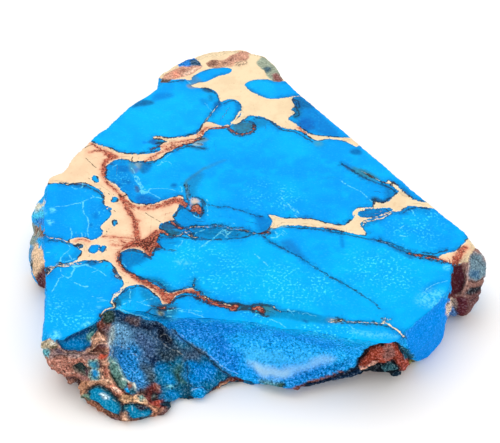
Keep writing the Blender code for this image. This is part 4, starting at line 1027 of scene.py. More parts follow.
FACE_PATCHES = [
    ("brown hollow on the back knob", (202, 148, 124), 0.3, 0.3, -0.2,
     "162,80 162,77 166,73 172,69.5 180,66.5 196,64.5 201,66 200,69 196,72 190,75 183,77.5 168,80.5"),
    ("pink of the hollow", (222, 144, 118), 0.5, 0.3, 0, "172,76 174,71 179,69 180,74 177,78 173,79"),
    # painted highlight: a light streak in the brown hollow
    ("light streak of the hollow", (232, 196, 170), 0.3, 0.3, 0,
     "182,75 188,70.5 195,67.5 199,68 193,72 186,76"),
    ("brown grain of the hollow", (156, 110, 92), 0.5, 0.3, -0.1,
     "181,70 187,67 191,67.5 187,71.5 182,73"),
    ("dark rim of the hollow", (92, 76, 70), 0.25, 0.4, -0.1,
     "160,82 162,78.5 166,79.8 171,79.5 170,82 165,83.5"),
    ("blue corner of the knob", (14, 118, 204), 0.3, 0.4, 0,
     "177,65.8 183,61 190,58 194,57.5 197,60 196,63.5 190,65.5 183,65.5 178,66.3"),
    ("dark end of the blue", (46, 78, 108), 0.2, 0.5, -0.1, "190,60 196,59 199,62.5 201,66 191,65.5"),
    ("brown row of the knob", (196, 148, 120), 0.5, 0.35, -0.1,
     "203,62.5 218,60 228,59.5 236,62 232,66.5 222,67.5 211,66.5"),
    ("first dark speck", (138, 98, 80), 0.3, 0.4, -0.2, "207,63 213,60.5 219,60 220,64 214,65.5 208,66"),
    ("second dark speck", (138, 98, 80), 0.3, 0.4, -0.2, "223,61 228,60 229,63.5 225,65"),
    ("brown on the knob's back", (204, 150, 126), 0.4, 0.35, -0.15,
     "224,60 228,56 234,54 240,50.5 246,50 250,53 249,57 245,60.5 241,63 236,62 230,63.5"),
    ("dark blotch of the brown", (150, 104, 86), 0.5, 0.4, -0.15,
     "229,58 233,55.5 236,57 234,60 230,60.5"),
    ("second blotch of the brown", (160, 112, 92), 0.5, 0.4, -0.15,
     "238,60 241,58 244,59 243,62 239,62.5"),
    ("soft shade by the brown", (216, 184, 150), 0.4, 0.5, 0, "236,62 246,61 247,65 240,67 234,66"),
    ("grey-green flank of the knob", (150, 160, 140), 0.7, 0.2, 0,
     "262,54 270,61 277,69 280,74 282,79 278,80 267,74 262,71 258,69 260,62"),
    ("dark swirl of the flank", (62, 90, 104), 0.3, 0.3, -0.15, "262,68 267,66.5 271,68 270,72 265,73"),
    ("brown flank of the knob", (132, 84, 78), 0.3, 0.4, -0.1,
     "273,74 277,73.5 280,76 282,81 279,82.5 275,80"),
]
# half widths in mm and lines, as for the veins. The creases are cut into the sides and darkened as painted
# shade.
CREASES = [
    (0.06, 0.1, "57,341 64,349 70,351.8 78,352 85,350 91,346 94,341 97,334 99.5,327"),
    (0.08, 0.05, "91,349 94,346 98,343.3 104,341.5 107,342 / 75,366 79,363.8 83,365.5 86,370 88,374.5"),
    (0.08, 0.08,
     "86,351 98,350 104,351 108,352.8 / 76,378.5 78,384 77,390 77.5,396 80,400.5 / 76,400 82,402.3"
     " 88,406.8 104,414.3 112,417.8 119,419.3 122,422.8 130,422.8 146,418.8 152,418.3 158,412.3 163,405.3"
     " / 165,401.8 172,403.3 180,403.8 186,400.3 193,398.3 200,399.8 206,396.5"),
    (0.06, 0.08, "90,353.8 103,353.2 108,354.2"),
    (0.1, 0.05, "99.5,328 104,334 108,336"),
    (0.06, 0.06,
     "99,321.5 103,319.5 107,323.3 112,322.5 114.5,318 / 102,316 105,312.5 110,309.8 115,309 / 75,367.5"
     " 79,371.8 84,374 / 146,396 148.5,391 151,381 / 149,403.5 154,407.5 160,409.5 / 110,366 111,373"
     " 115,380 124,390 / 176,387 180,382 178,374 / 188,364 188,374 190,384 196,387.5 204,386.5 208,390 /"
     " 464.5,264 465,275 462.5,286 459,292 / 453,300 455,311 461,323"),
    (0.05, 0.05,
     "88,381 89.5,377 88.5,371 89,364 88,360 / 98.5,360 100,364 99,368 100.3,373 100,379 / 80,399.5"
     " 86,399.5 99,406.3 106,410.8 119,418 / 126,411 131.5,420 / 79,383 81,388 80,394 / 84,381 86,386"
     " 84,392 / 101,362 104,368 103,375 105,381 / 113,391 121,397 / 124,398 129,399.5 131,401.5 / 469,281"
     " 476,282 484,279 / 472,256 479,261 484,267"),
    (0.05, 0.1, "117,384.8 125,392.4 131,394.6 138,393.5 144,390.5 148,389.5"),
    (0.1, 0.1,
     "85.5,390 90,386 96,384.4 102,385.3 108,389 113,394 121,404.5 / 119.5,406.5 125,403.5 132,402"
     " 148,405.8"),
    (0.06, 0.05,
     "133,394.5 132.8,402 / 104,329 106,333 109,334 / 62,353 68,354.5 75,354.5 / 54,357.5 60,356"
     " 66,357.8 / 152,384 154,389 152,394 155,398 / 157,365 164,362 172,364 / 470,300 476,296 483,290"),
    (0.08, 0.06,
     "120.5,408 121,413 120.3,417 121,421 / 151,400 155,398.8 160,398.7 164.5,396 / 398,345 404,351"
     " 414,364"),
    (0.08, 0.11,
     "174,332 184,341 192,347 200,352 208,358 216,365 224,371.5 232,376 262,388.5 272,390.5 282,392"
     " 292,391.3 302,389 312,385.3 345,375 356,370"),
    (0.11, 0.08, "207,396.5 218,386 230,376.8 236,377.3 248,382.5"),
    (0.1, 0.08, "357,367 360,361 370,349.5 377,346.5 386,343.5 391,341"),
]
# ridges on the broken sides, raised and drawn lighter: partly pale matrix, partly painted highlights along
# their edges
RIDGES = [
    (0.06, 0.06,
     "58,345.8 63,350 70,352.8 78,353 85,351.5 / 66,358.5 72,356.8 78,356.3 83,359 87,364 / 100.5,369"
     " 101,374 103,379.5 / 121,398 126,401 131,402 / 124,379.7 133,384.3 136,388.5 / 192,391 197,387.5"
     " 203,388.5 205,392"),
    (0.08, 0.1, "92,341 96,338.8 101,339.3 106,341 / 88.5,383.5 96,381 104,380.3 111,381.5"),
    (0.08, 0.08,
     "84,352.5 99,344.7 104,342.8 / 135,399.5 141,402.3 148,404.3 156,411.5 / 112.5,361 117,366"
     " 122.5,377"),
    (0.08, 0.06,
     "95.5,334 98.5,332 101,335.3 / 110,337 109.5,345 110.5,352 109,358 / 111.5,327 115,324.5 118,325"),
    (0.05, 0.05,
     "90,352.3 96,351.8 103,352 / 139,411 144,414.5 / 116,345 131,349.5 / 160,337 165,333.5 170,336"
     " 171,341 / 163,344 169,348 176,350 182,354 / 150,334 155,339 157,345 / 358,367.8 366,365.3 373,362"
     " 379,362 / 469,262 468,273 465.5,286 / 474,253 482,259 486,267 / 60,361 66,362.5 72,361 / 62,369"
     " 68,371.5 74,372 / 52,362 57,365 62,365"),
    (0.1, 0.08, "109,386.8 118,388.8 121,391 122,394"),
    (0.11, 0.08, "101,394 107,399"),
    (0.06, 0.05,
     "112,398 116,401.5 / 131,405.5 134.5,412 / 132,353.5 137,355.5 137.5,360 / 130,371 134.5,373.5"
     " 138.5,370 / 176,330.5 184,337.5 208,354 224,366.8 232,371.8 238,374.8 / 165,388 169,385.5"
     " 172.5,387.5 / 80,386 82,391 80.5,395 / 120.8,415.5 121,419 / 124,416.5 127,417.5 129,420 /"
     " 150,406.5 154,410 152,415"),
]
# heights in mm, how far out the side moves at each in mm, outline
FOOT_SHAPES = [
    # the front rim hangs clear of the table
    ((0.0, 0.9, 1.5, 1.9, 2.6, 4.2, 7.0), (-2.2, -1.6, 0.8, 2.0, 2.2, 1.3, 0.0),
     "262,374 300,365 345,348 360,344 392,344 398,352 401,362 402,372 396,384 360,400 320,406 280,408"
     " 258,398"),
    # the pink lobe curls under
    ((0.0, 0.5, 1.0, 1.5, 3.5, 6.5), (-1.2, -0.8, 0.2, 0.5, 0.3, 0.0),
     "44,360 60,360 76,368 84,380 80,402 66,398 56,386 42,374"),
    # the apron's foot spreads
    ((0.0, 1.5, 4.0, 7.0), (0.8, 0.9, 0.6, 0.0),
     "184,394 190,384 204,378 210,384 206,396 196,408 188,412 184,406"),
]
KNOB_TOE = "449,306 474,290 488,282 504,296 488,332 456,344 449,330"
TOE_PUSH = np.array((-1.2, 1.2))
TOE_HEIGHTS = (0.0, 3.5, 6.5)
TOE_SHARES = (1.0, 0.8, 0.0)
TOE_SOFTNESS = 0.6
SIDE_BLUE = (0, 142, 226)
# noise: the size of its lumps and its reach, in mm
RAGGED = [(1.1, 0.26), (0.45, 0.16)]
LUMPS = [(2.4, 0.3), (0.9, 0.16)]
CREVICES = [(2.6, 0.42), (1.3, 0.24)]
BREAKS = [(8.0, 0.9), (3.4, 0.45)]
FOLD_ALONG = np.array((0.8, 0.2, 0.55))
FOLD_LENGTH = 3.4
FOLD_WIDTH = 0.85
FOLD_HEIGHT = 0.22
FINE_GRAIN_SIZE = 0.45
FINE_GRAIN = 0.07
CREASE_DEPTH = 0.3
RIDGE_HEIGHT = 0.22
CREASE_REACH = 0.45
FOOT_HEIGHT = 1.2
FOOT_INSET = 0.35
FOOT_REACH = 7.0
FOOT_SOFTNESS = 1.0
FOOT_BORDER = 0.25
FOOT_FADE = 3.0
LEAST_SIDEWAYS = 0.2
FACES_DOWN = -0.9
TOUCHES = 0.01
LEANS_OUT = (-0.2, 0.05)
FACES_FRONT = (-0.05, 0.2)
LEANS_UNDER = (-0.4, -0.1)
WANDER_SIZE = 2.0
WANDER = 1.3
CALM_BELOW_FACE = 0.9
CALM_ABOVE_FOOT = 0.5
CRAGGY = (0.3, 1.0)
CREVICE_SHARPNESS = 4.5
HOLLOW_SHADE_DEPTHS = (0.1, 0.5)
PLAIN_COARSENESS = 0.5
# how gritty the look is at each coarseness
COARSENESS = (0.05, 0.12, 0.25, 0.5, 0.7, 1.0)
GRIT = (0.12, 0.4, 0.75, 1.3, 1.25, 1.0)
OCHRE_FROM_LEFT = (-14.0, 6.0)
SOFT_TOWARDS_BACK = (12.0, 24.0)
SOFT_BACK = 0.65
SIDE_DEPTHS = (0.02, 0.9)
SEED_STEPS = (17.3, 5.1, 9.7)


def rough(points, size, seed):
    """Smooth noise between about -1 and 1 at each point, in lumps of the given size in mm."""
    start = Vector([seed * step for step in SEED_STEPS])
    return np.array([noise.noise(Vector(point) / size + start) for point in points])


def laid_over(under, colour, cover):
    """Colours with their cover after one more colour is laid over them."""
    left = under[:, 3] * (1.0 - cover)
    total = cover + left
    mixed = colour * cover[:, None] + under[:, :3] * left[:, None]
    mixed /= np.maximum(total, ALMOST_NOTHING)[:, None]
    mixed = np.where(total[:, None] > ALMOST_NOTHING, mixed, under[:, :3])
    return np.column_stack([mixed, total])


def facing(mesh):
    """Which way the mesh faces at every vertex."""
    flat = np.empty(len(mesh.vertices) * 3)
    mesh.vertices.foreach_get("normal", flat)
    return flat.reshape(-1, 3)


# The broken sides curl under at the foot, and the front rim hangs over, so that the stone stands on a
# smaller base and its edge throws a dark shadow.
points = places(stone_mesh)
normals = facing(stone_mesh)
flat = np.nonzero((points[:, 2] < TOUCHES) & (normals[:, 2] < FACES_DOWN))[0]
wall = np.nonzero((points[:, 2] < FOOT_REACH) & (normals[:, 2] > FACES_DOWN))[0]
sideways = np.maximum(np.hypot(normals[wall, 0], normals[wall, 1]), LEAST_SIDEWAYS)
outward = np.zeros((len(points), 2))
outward[wall] = normals[wall, :2] / sideways[:, None]
inset = np.zeros(len(points))
inset[wall] = np.clip(1.0 - points[wall, 2] / FOOT_HEIGHT, 0.0, 1.0) ** 2 * FOOT_INSET
for heights, offsets, text in FOOT_SHAPES:
    share = soft_areas(on_drawing(points[wall]), [(1.0, FOOT_SOFTNESS, text)])
    inset[wall] -= np.interp(points[wall, 2], heights, offsets) * share
border = wall[points[wall, 2] < FOOT_BORDER]
nearest_border = KDTree(len(border))
for index in border:
    nearest_border.insert(Vector(points[index]), int(index))
nearest_border.balance()
for index in flat:
    _, found, way = nearest_border.find(Vector(points[index]))
    outward[index] = outward[found]
    inset[index] = inset[found] * max(1.0 - way / (FOOT_FADE * abs(inset[found]) + TOUCHES), 0.0)
points[:, :2] -= outward * inset[:, None]
toe = soft_areas(on_drawing(points), [(1.0, TOE_SOFTNESS, KNOB_TOE)])
toe *= np.interp(points[:, 2], TOE_HEIGHTS, TOE_SHARES)
points[:, :2] += TOE_PUSH * toe[:, None]
set_places(stone_mesh, points)
normals = facing(stone_mesh)

side = np.nonzero(points[:, 2] < THICKNESS - TOUCHES)[0]
side_points = points[side]
ragged = np.zeros((len(side), 2))
for seed, (size, reach) in enumerate(RAGGED):
    ragged[:, 0] += rough(side_points, size, seed + 20) * reach
    ragged[:, 1] += rough(side_points, size, seed + 30) * reach
side_spots = on_drawing(side_points) + ragged
paint = np.ones((len(points), 4)) * (*linear(SIDE_BLUE), 0.0)
grain = np.full(len(points), PLAIN_COARSENESS)
lift = np.zeros(len(points))
# No patch is laid on a hidden side, which leans away from the line of sight.
way_up = camera_at - points
lean = (normals * way_up).sum(axis=1) / np.linalg.norm(way_up, axis=1)
open_side = np.maximum(rise(lean, *LEANS_OUT), rise(-normals[:, 1], *FACES_FRONT))
all_points = np.arange(len(points))
all_spots = on_drawing(points)
wander = np.column_stack([rough(points, WANDER_SIZE, seed) for seed in (40, 41)]) * WANDER
for chosen, chosen_spots, patches in ((side, side_spots, PATCHES), (all_points, all_spots, FACE_PATCHES)):
    for _, colour, softness, coarseness, height, text in patches:
        strayed = chosen_spots + wander[chosen] * softness
        cover = rise(depth_inside(strayed, spots(text)), -softness, softness) * open_side[chosen]
        paint[chosen] = laid_over(paint[chosen], linear(colour), cover)
        grain[chosen] += (coarseness - grain[chosen]) * cover
        lift[chosen] += (height - lift[chosen]) * cover

# The sides are roughened along their normals, less towards the two sawn faces, which stay flat.
below = np.clip((THICKNESS - side_points[:, 2]) / CALM_BELOW_FACE, 0.0, 1.0)
below *= np.clip(side_points[:, 2] / CALM_ABOVE_FOOT, 0.0, 1.0)
crag = rise(grain[side], *CRAGGY)
lumps = rough(side_points, FINE_GRAIN_SIZE, 5) * FINE_GRAIN
for seed, (size, height) in enumerate(LUMPS, 3):
    lumps += rough(side_points, size, seed) * height * grain[side]
for seed, (size, depth) in enumerate(CREVICES, 6):
    groove = np.minimum(np.abs(rough(side_points, size, seed)) * CREVICE_SHARPNESS, 1.0) - 1.0
    lumps += groove * depth * crag
broken = (1.0 - rise(lean[side], *LEANS_UNDER)) * (1.0 - rise(-normals[side, 1], *FACES_FRONT))
for seed, (size, height) in enumerate(BREAKS, 14):
    lumps += rough(side_points, size, seed) * height * broken
fold_along = FOLD_ALONG / np.linalg.norm(FOLD_ALONG)
folded = side_points - (side_points @ fold_along)[:, None] * fold_along * (1 - FOLD_WIDTH / FOLD_LENGTH)
lumps += rough(folded, FOLD_WIDTH, 11) * FOLD_HEIGHT * crag
crease_line = lines(side_spots, CREASES)
ridge_line = lines(side_spots, RIDGES)
from_crease = np.hypot(crease_line[:, 0], crease_line[:, 1]) - crease_line[:, 2]
from_ridge = np.hypot(ridge_line[:, 0], ridge_line[:, 1]) - ridge_line[:, 2]
lumps += CREASE_DEPTH * (rise(from_crease, 0.0, CREASE_REACH) - 1.0)
lumps += RIDGE_HEIGHT * (1.0 - rise(from_ridge, 0.0, CREASE_REACH))
# how deep each side point sits in its roughening, which the material darkens as painted shade
hollow = np.zeros(len(points))
hollow[side] = rise(-lumps * below, *HOLLOW_SHADE_DEPTHS)
points[side] += normals[side] * ((lumps + lift[side]) * below)[:, None]
points[:, 2] = np.clip(points[:, 2], 0.0, THICKNESS)
set_places(stone_mesh, points)


def give(name, kind, values):
    """Stores one value for each vertex under a name that the stone's material reads."""
    attribute = stone_mesh.attributes.new(name, kind, "POINT")
    field = {"FLOAT": "value", "FLOAT_VECTOR": "vector", "FLOAT_COLOR": "color"}[kind]
    attribute.data.foreach_set(field, np.asarray(values, np.float32).ravel())


drawn = on_drawing(points)
drawn[side] += ragged
stain = np.ones((len(points), 4)) * (*linear(SIDE_BLUE), 0.0)
for colour, strength, softness, text in STAINS:
    cover = strength * rise(depth_inside(drawn, rounded(spots(text))), -softness, softness)
    stain = laid_over(stain, linear(colour), cover)
cream = np.minimum(areas(drawn, CREAM), -areas(drawn, BLUE_IN_CREAM))
give("cream", "FLOAT", cream)
give("rust", "FLOAT", areas(drawn, RUST))
# the thread lines hold pale threads and painted highlights along the sawn rim
for name, rows in (("cream_line", CREAM_LINES), ("rust_line", RUST_LINES), ("dark_line", DARK_LINES),
                   ("crack_line", CRACKS), ("thread_and_highlight_line", THREADS_AND_RIM_HIGHLIGHTS)):
    give(name, "FLOAT_VECTOR", lines(drawn, rows))
give("stain", "FLOAT_COLOR", stain)
# the worn spots, with the painted highlights along the sawn rim
give("worn", "FLOAT", soft_areas(drawn, WORN_AND_RIM_HIGHLIGHTS))
give("specks", "FLOAT", soft_areas(drawn, SPECKLED))
for name, values in (("crease_line", crease_line), ("ridge_line", ridge_line)):
    on_stone = np.zeros((len(points), 3))
    on_stone[:, 0] = FAR
    on_stone[side] = values
    give(name, "FLOAT_VECTOR", on_stone)
give("ochre", "FLOAT", rise(drawn[:, 0] + drawn[:, 1] * 0.5, *OCHRE_FROM_LEFT))
give("grit", "FLOAT", np.interp(grain, COARSENESS, GRIT))
give("hollow", "FLOAT", hollow)
give("rim", "FLOAT", 1.0 - SOFT_BACK * rise(drawn[:, 1], *SOFT_TOWARDS_BACK))
give("side", "FLOAT", rise(THICKNESS - points[:, 2], *SIDE_DEPTHS))
give("paint", "FLOAT_COLOR", paint)
stone = bpy.data.objects.new("turquoise_stone", stone_mesh)
bpy.context.scene.collection.objects.link(stone)
stone_mesh.polygons.foreach_set("use_smooth", [True] * len(stone_mesh.polygons))

# The stone's colours and polish
# Bright blue turquoise, half polished where it was sawn, with pale cream matrix, rust along the veins, a
# thin dark rim where matrix meets blue, and a dull, granular surface where it is broken. A tint above 255
# makes what it lies on lighter.
# The broken sides also carry painted shade in their hollows, creases and shadowed patches, and painted
# highlights on ridges, the bowl and the sawn rim.
MIDDLE_BLUE = (0, 150, 232)
CLEAR_BLUE = (0, 170, 240)
LIGHT_BLUE = (0, 184, 248)
DULL_BLUE = (0, 138, 224)
SHADE_BY_VEIN = (0, 96, 164)
BRIGHT_SPECK = (74, 224, 252)
DARK_SPECK = (0, 124, 206)
WORN_AND_HIGHLIGHT_BLUE = (104, 220, 250)
PALE_THREAD_AND_HIGHLIGHT = (112, 222, 246)
INK_BLUE = (4, 44, 70)
INK_GREY = (44, 42, 38)
INK_BY_RUST = (48, 28, 22)
CREAM_AT_LEFT = (236, 207, 171)
CREAM_AT_RIGHT = (234, 212, 174)
CREAM_CLOUD = (242, 230, 226)
TAN_FLECK = (198, 148, 106)
PEACH = (224, 164, 134)
SALMON = (212, 124, 98)
PALE_EDGE = (250, 234, 198)
TAN_CLOUD = (206, 160, 122)
RIM_BLUE = (2, 44, 70)
RIM_BROWN = (54, 38, 30)
RUST_RIM_BLUE = (6, 40, 62)
RUST_RIM_BROWN = (44, 34, 30)
RUST_RED = (196, 98, 74)
RUST_DEEP = (138, 50, 40)
RUST_PIT = (70, 28, 26)
RUST_LIGHT = (232, 160, 130)
RUST_DARK = (54, 24, 24)
CRACK_BROWN = (62, 32, 26)
PIT_TINT = (80, 90, 108)
BRIGHTENING_TINT = (350, 345, 335)
GRAIN_DUST = (210, 232, 240)
HOLLOW_SHADE_TINT = (96, 84, 84)
RIDGE_PALE_AND_HIGHLIGHT = (226, 224, 210)
CREASE_SHADE = (34, 28, 34)
GLOSS_LEVEL = 0.06
GLOSS_TINT = (0.02, 0.6, 0.9, 1.0)
DULLEST = 0.95


class Wire:
    """An output of a shader node, reckoned with like a number."""

    def __init__(self, tree, socket):
        self.tree = tree
        self.socket = socket

    def reckon(self, operation, *values):
        node = self.tree.nodes.new("ShaderNodeMath")
        node.operation = operation
        for place, value in enumerate(values):
            if isinstance(value, Wire):
                self.tree.links.new(value.socket, node.inputs[place])
            else:
                node.inputs[place].default_value = value
        return Wire(self.tree, node.outputs[0])

    def __add__(self, other):
        return self.reckon("ADD", self, other)

    __radd__ = __add__

    def __sub__(self, other):
        return self.reckon("SUBTRACT", self, other)

    def __rsub__(self, other):
        return self.reckon("SUBTRACT", other, self)

    def __mul__(self, other):
        return self.reckon("MULTIPLY", self, other)

    __rmul__ = __mul__

    def __abs__(self):
        return self.reckon("ABSOLUTE", self)

    def most(self, other):
        return self.reckon("MAXIMUM", self, other)

    def least(self, other):
        return self.reckon("MINIMUM", self, other)


class Finish:
    """A material that is put together node by node."""

    def __init__(self, name):
        self.material = bpy.data.materials.new(name)
        self.material.use_nodes = True
        self.tree = self.material.node_tree
        self.shader = self.tree.nodes["Principled BSDF"]
        self.places = self.node("ShaderNodeTexCoord", output="Object")

    def node(self, kind, settings=(), sockets=(), output=0):
        """One node of the given kind, its settings made first, then its sockets' values or links."""
        node = self.tree.nodes.new(kind)
        for name, value in dict(settings).items():
            setattr(node, name, value)
        for place, value in dict(sockets).items():
            if isinstance(value, Wire):
                self.tree.links.new(value.socket, node.inputs[place])
            else:
                node.inputs[place].default_value = value
        return Wire(self.tree, node.outputs[output])

    def read(self, name, output="Fac"):
        """A value that the piece's mesh carries."""
        return self.node("ShaderNodeAttribute", {"attribute_name": name}, output=output)

    def cloud(self, size, detail=3.0, roughness=0.55, output="Fac"):
        """Noise between 0 and 1 in patches of about the given size in mm."""
        return self.node("ShaderNodeTexNoise", (), {"Vector": self.places, "Scale": 1 / (size * MM),
                                                    "Detail": detail, "Roughness": roughness}, output)

    def rise(self, value, low, high):
        """0 where the value is at low, 1 where it is at high, smooth between."""
        return self.node("ShaderNodeMapRange", {"interpolation_type": "SMOOTHSTEP"},
                         {0: value, 1: low, 2: high, 3: 0.0, 4: 1.0})

    def blend(self, share, first, second, way="MIX"):
        """The second colour over the first, as far as share says."""
        colours = [item if isinstance(item, Wire) else (*linear(item), 1.0) for item in (first, second)]
        return self.node("ShaderNodeMix", {"data_type": "RGBA", "blend_type": way},
                         {0: share, 6: colours[0], 7: colours[1]}, 2)

    def tint(self, share, first, second):
        """The first colour multiplied by the second, as far as share says."""
        return self.blend(share, first, second, "MULTIPLY")

    def feed(self, socket, value):
        """A value or a wire for one socket of the shader."""
        if isinstance(value, Wire):
            self.tree.links.new(value.socket, self.shader.inputs[socket])
        else:
            self.shader.inputs[socket].default_value = value


rock = Finish("veined_turquoise")


def line_depth(name, sway):
    """How far inside the nearest line of that name, in mm: half its width less the way to its middle.

    sway is how far the line wanders from where it was drawn.
    """
    parts = rock.read(name, "Vector")
    moved = rock.node("ShaderNodeVectorMath", {"operation": "MULTIPLY_ADD"},
                      {0: rock.cloud(0.7, 3.0, 0.6, "Color"), 1: (sway, sway, 0.0), 2: parts})
    centred = rock.node("ShaderNodeVectorMath", {"operation": "SUBTRACT"},
                        {0: moved, 1: (sway * 0.5, sway * 0.5, 0.0)})
    flat = rock.node("ShaderNodeVectorMath", {"operation": "MULTIPLY"}, {0: centred, 1: (1.0, 1.0, 0.0)})
    length = rock.node("ShaderNodeVectorMath", {"operation": "LENGTH"}, {0: flat}, output="Value")
    width = rock.node("ShaderNodeSeparateXYZ", (), {0: parts}, output=2)
    return width - length


broad = rock.cloud(9.0, 2.0)
patchy = rock.cloud(2.6, 4.0, 0.6)
fine = rock.cloud(0.55, 3.0, 0.6)
tiny = rock.cloud(0.24, 2.0, 0.5)
crumb = rock.cloud(0.32, 3.0, 0.65)
stretches = rock.rise(rock.cloud(3.6, 2.0), 0.4, 0.6)
tooth = rock.read("rim")
fray = (rock.cloud(0.6, 3.0, 0.7) - 0.5) * (0.5 + stretches * 0.9) + (tiny - 0.5) * 0.3
fray = fray * (0.45 + tooth * 0.75)

side_share = rock.read("side")
cream_area = rock.read("cream")
cream_line = line_depth("cream_line", 0.5)
cream_depth = cream_area.most(cream_line)
rust_depth = rock.read("rust").most(line_depth("rust_line", 0.9))
dark_depth = line_depth("dark_line", 0.9)
crack_depth = line_depth("crack_line", 0.3)
thread_and_highlight_depth = line_depth("thread_and_highlight_line", 0.6)
near_rust = rock.rise(rust_depth + fray, -1.2, -0.1)

# blue, with its stains, specks, pale threads and worn spots; some threads and worn spots are painted
# highlights along the sawn rim
blue = rock.blend(rock.rise(broad, 0.35, 0.68), MIDDLE_BLUE, CLEAR_BLUE)
blue = rock.blend(rock.rise(patchy, 0.45, 0.72) * 0.5, blue, LIGHT_BLUE)
blue = rock.blend(rock.rise(patchy, 0.42, 0.25) * 0.4, blue, DULL_BLUE)
halo = rock.rise(cream_depth.most(dark_depth - 0.1).most(rust_depth) + fray * 1.4, -1.1, -0.05)
blue = rock.blend(halo * (0.2 + stretches * 0.4), blue, SHADE_BY_VEIN)
stain_share = rock.read("stain", "Alpha") * (0.62 + patchy * 0.4 + (fine - 0.5) * 0.7)
blue = rock.blend(stain_share.least(1.0), blue, rock.read("stain", "Color"))
speck_share = rock.rise(rock.cloud(0.4, 2.0, 0.5), 0.52, 0.68) * rock.rise(rock.cloud(1.6, 2.0), 0.34, 0.6)
blue = rock.blend(speck_share * (rock.read("specks") + 0.1) * 0.95, blue, BRIGHT_SPECK)
blue = rock.blend(rock.rise(tiny, 0.45, 0.3) * (rock.read("specks") * 0.3 + 0.1), blue, DARK_SPECK)
# pale worn spots, partly painted highlights along the sawn rim
worn_and_highlight_share = rock.read("worn") * rock.rise(rock.cloud(0.45, 4.0, 0.7), 0.4, 0.6)
blue = rock.blend(worn_and_highlight_share, blue, WORN_AND_HIGHLIGHT_BLUE)
# pale threads, partly painted highlights along the sawn rim
thread_and_highlight = rock.rise(thread_and_highlight_depth + fray * 0.3, -0.06, 0.05)
blue = rock.blend(thread_and_highlight * (0.5 + (fine - 0.4) * 1.2), blue, PALE_THREAD_AND_HIGHLIGHT)

# dark edges of the veins
dark_share = rock.rise(dark_depth + fray * 0.45, -0.12, 0.06)
ink = rock.blend(rock.rise(rock.cloud(1.0, 3.0), 0.42, 0.6), INK_BLUE, INK_GREY)
ink = rock.blend(near_rust * 0.8, ink, INK_BY_RUST)
blue = rock.blend((dark_share * (0.7 + (patchy - 0.5) * 1.2)).least(0.96), blue, ink)

# cream matrix, thin where rust runs along it
cream_edge = (cream_area + fray * 0.75).most(cream_line + fray * 0.35) - near_rust * 0.14 - 0.05
cream_share = rock.rise(cream_edge, -0.04, 0.04)
matrix = rock.blend(rock.read("ochre"), CREAM_AT_LEFT, CREAM_AT_RIGHT)
matrix = rock.tint(rock.rise(patchy, 0.4, 0.65) * 0.5, matrix, CREAM_CLOUD)
matrix = rock.blend(rock.rise(fine, 0.6, 0.74) * 0.3, matrix, TAN_FLECK)
matrix = rock.blend(near_rust * 0.4, matrix, PEACH)
matrix = rock.blend(rock.rise(rust_depth + fray * 0.5, -0.45, -0.05) * 0.6, matrix, SALMON)
matrix = rock.blend(rock.rise(cream_edge, 0.22, 0.03) * (0.2 + tooth * 0.4), matrix, PALE_EDGE)
matrix = rock.blend(rock.rise(rock.cloud(1.4, 3.0, 0.6), 0.6, 0.7) * tooth * 0.25, matrix, TAN_CLOUD)
colour = rock.blend(cream_share, blue, matrix)

# thin broken rim where the matrix meets the blue
rim_width = rock.rise(rock.cloud(1.3, 4.0, 0.65), 0.38, 0.68) * 0.2
rim = 1 - rock.rise(abs(cream_edge + 0.1) - rim_width, -0.05, 0.08)
rim = rim * tooth * rock.rise(rock.cloud(2.2, 3.0), 0.34, 0.56) * 0.92
rim_colour = rock.blend(rock.rise(patchy, 0.42, 0.58), RIM_BLUE, RIM_BROWN)
colour = rock.blend(rim, colour, rim_colour)

# rust
rust_edge = rust_depth + fray * 0.8
rust_share = rock.rise(rust_edge, -0.06, 0.06)
rust_rim = rock.rise(rust_edge + fray * 0.4, -0.34, -0.1) * (1 - cream_share) * 0.85
rust_rim_colour = rock.blend(rock.rise(patchy, 0.42, 0.58), RUST_RIM_BLUE, RUST_RIM_BROWN)
colour = rock.blend(rust_rim, colour, rust_rim_colour)
rust = rock.blend(rock.rise(rock.cloud(0.8, 4.0, 0.7), 0.4, 0.6), RUST_RED, RUST_DEEP)
light_strand = rock.rise(abs(rock.cloud(0.75, 3.0, 0.6) - 0.5), 0.04, 0.0)
dark_strand = rock.rise(abs(rock.cloud(1.1, 3.0, 0.65) - 0.5), 0.05, 0.0)
rust = rock.blend(rock.rise(rock.cloud(0.5, 3.0, 0.6), 0.52, 0.66) * 0.7, rust, RUST_PIT)
rust = rock.blend(light_strand * 0.75, rust, RUST_LIGHT)
rust = rock.blend(dark_strand * 0.75, rust, RUST_DARK)
colour = rock.blend(rust_share * 0.94, colour, rust)

# cracks over everything
crack_share = rock.rise(crack_depth + fray * 0.25, -0.05, 0.05)
colour = rock.blend(crack_share * 0.85, colour, CRACK_BROWN)

# broken sides: light grains, dark pits, painted shade in hollows and creases, and ridges drawn lighter,
# partly as painted highlights
grit = rock.read("grit")
paint_share = rock.read("paint", "Alpha")
paint_edge = rock.rise(paint_share + (fine - 0.5) * 0.5, 0.25, 0.75)
colour = rock.blend(paint_edge, colour, rock.read("paint", "Color"))
granular = side_share.most(paint_edge * 0.8) * grit * (0.4 + paint_share * 0.6)
light_grain = granular * rock.rise(crumb, 0.52, 0.68)
dark_grain = granular * rock.rise(crumb, 0.5, 0.34)
crease = rock.rise(line_depth("crease_line", 0.4) + fray * 0.2, -0.08, 0.05)
ridge = rock.rise(line_depth("ridge_line", 0.5) + fray * 0.3, -0.08, 0.06) * rock.rise(fine, 0.36, 0.5)
colour = rock.tint((dark_grain * 0.8).least(0.95), colour, PIT_TINT)
colour = rock.tint((light_grain * 0.8).least(1.0), colour, BRIGHTENING_TINT)
colour = rock.blend((light_grain * 0.16).least(0.3), colour, GRAIN_DUST)
# painted shade in the hollows of the roughened sides
colour = rock.tint(rock.read("hollow") * side_share * 0.4, colour, HOLLOW_SHADE_TINT)
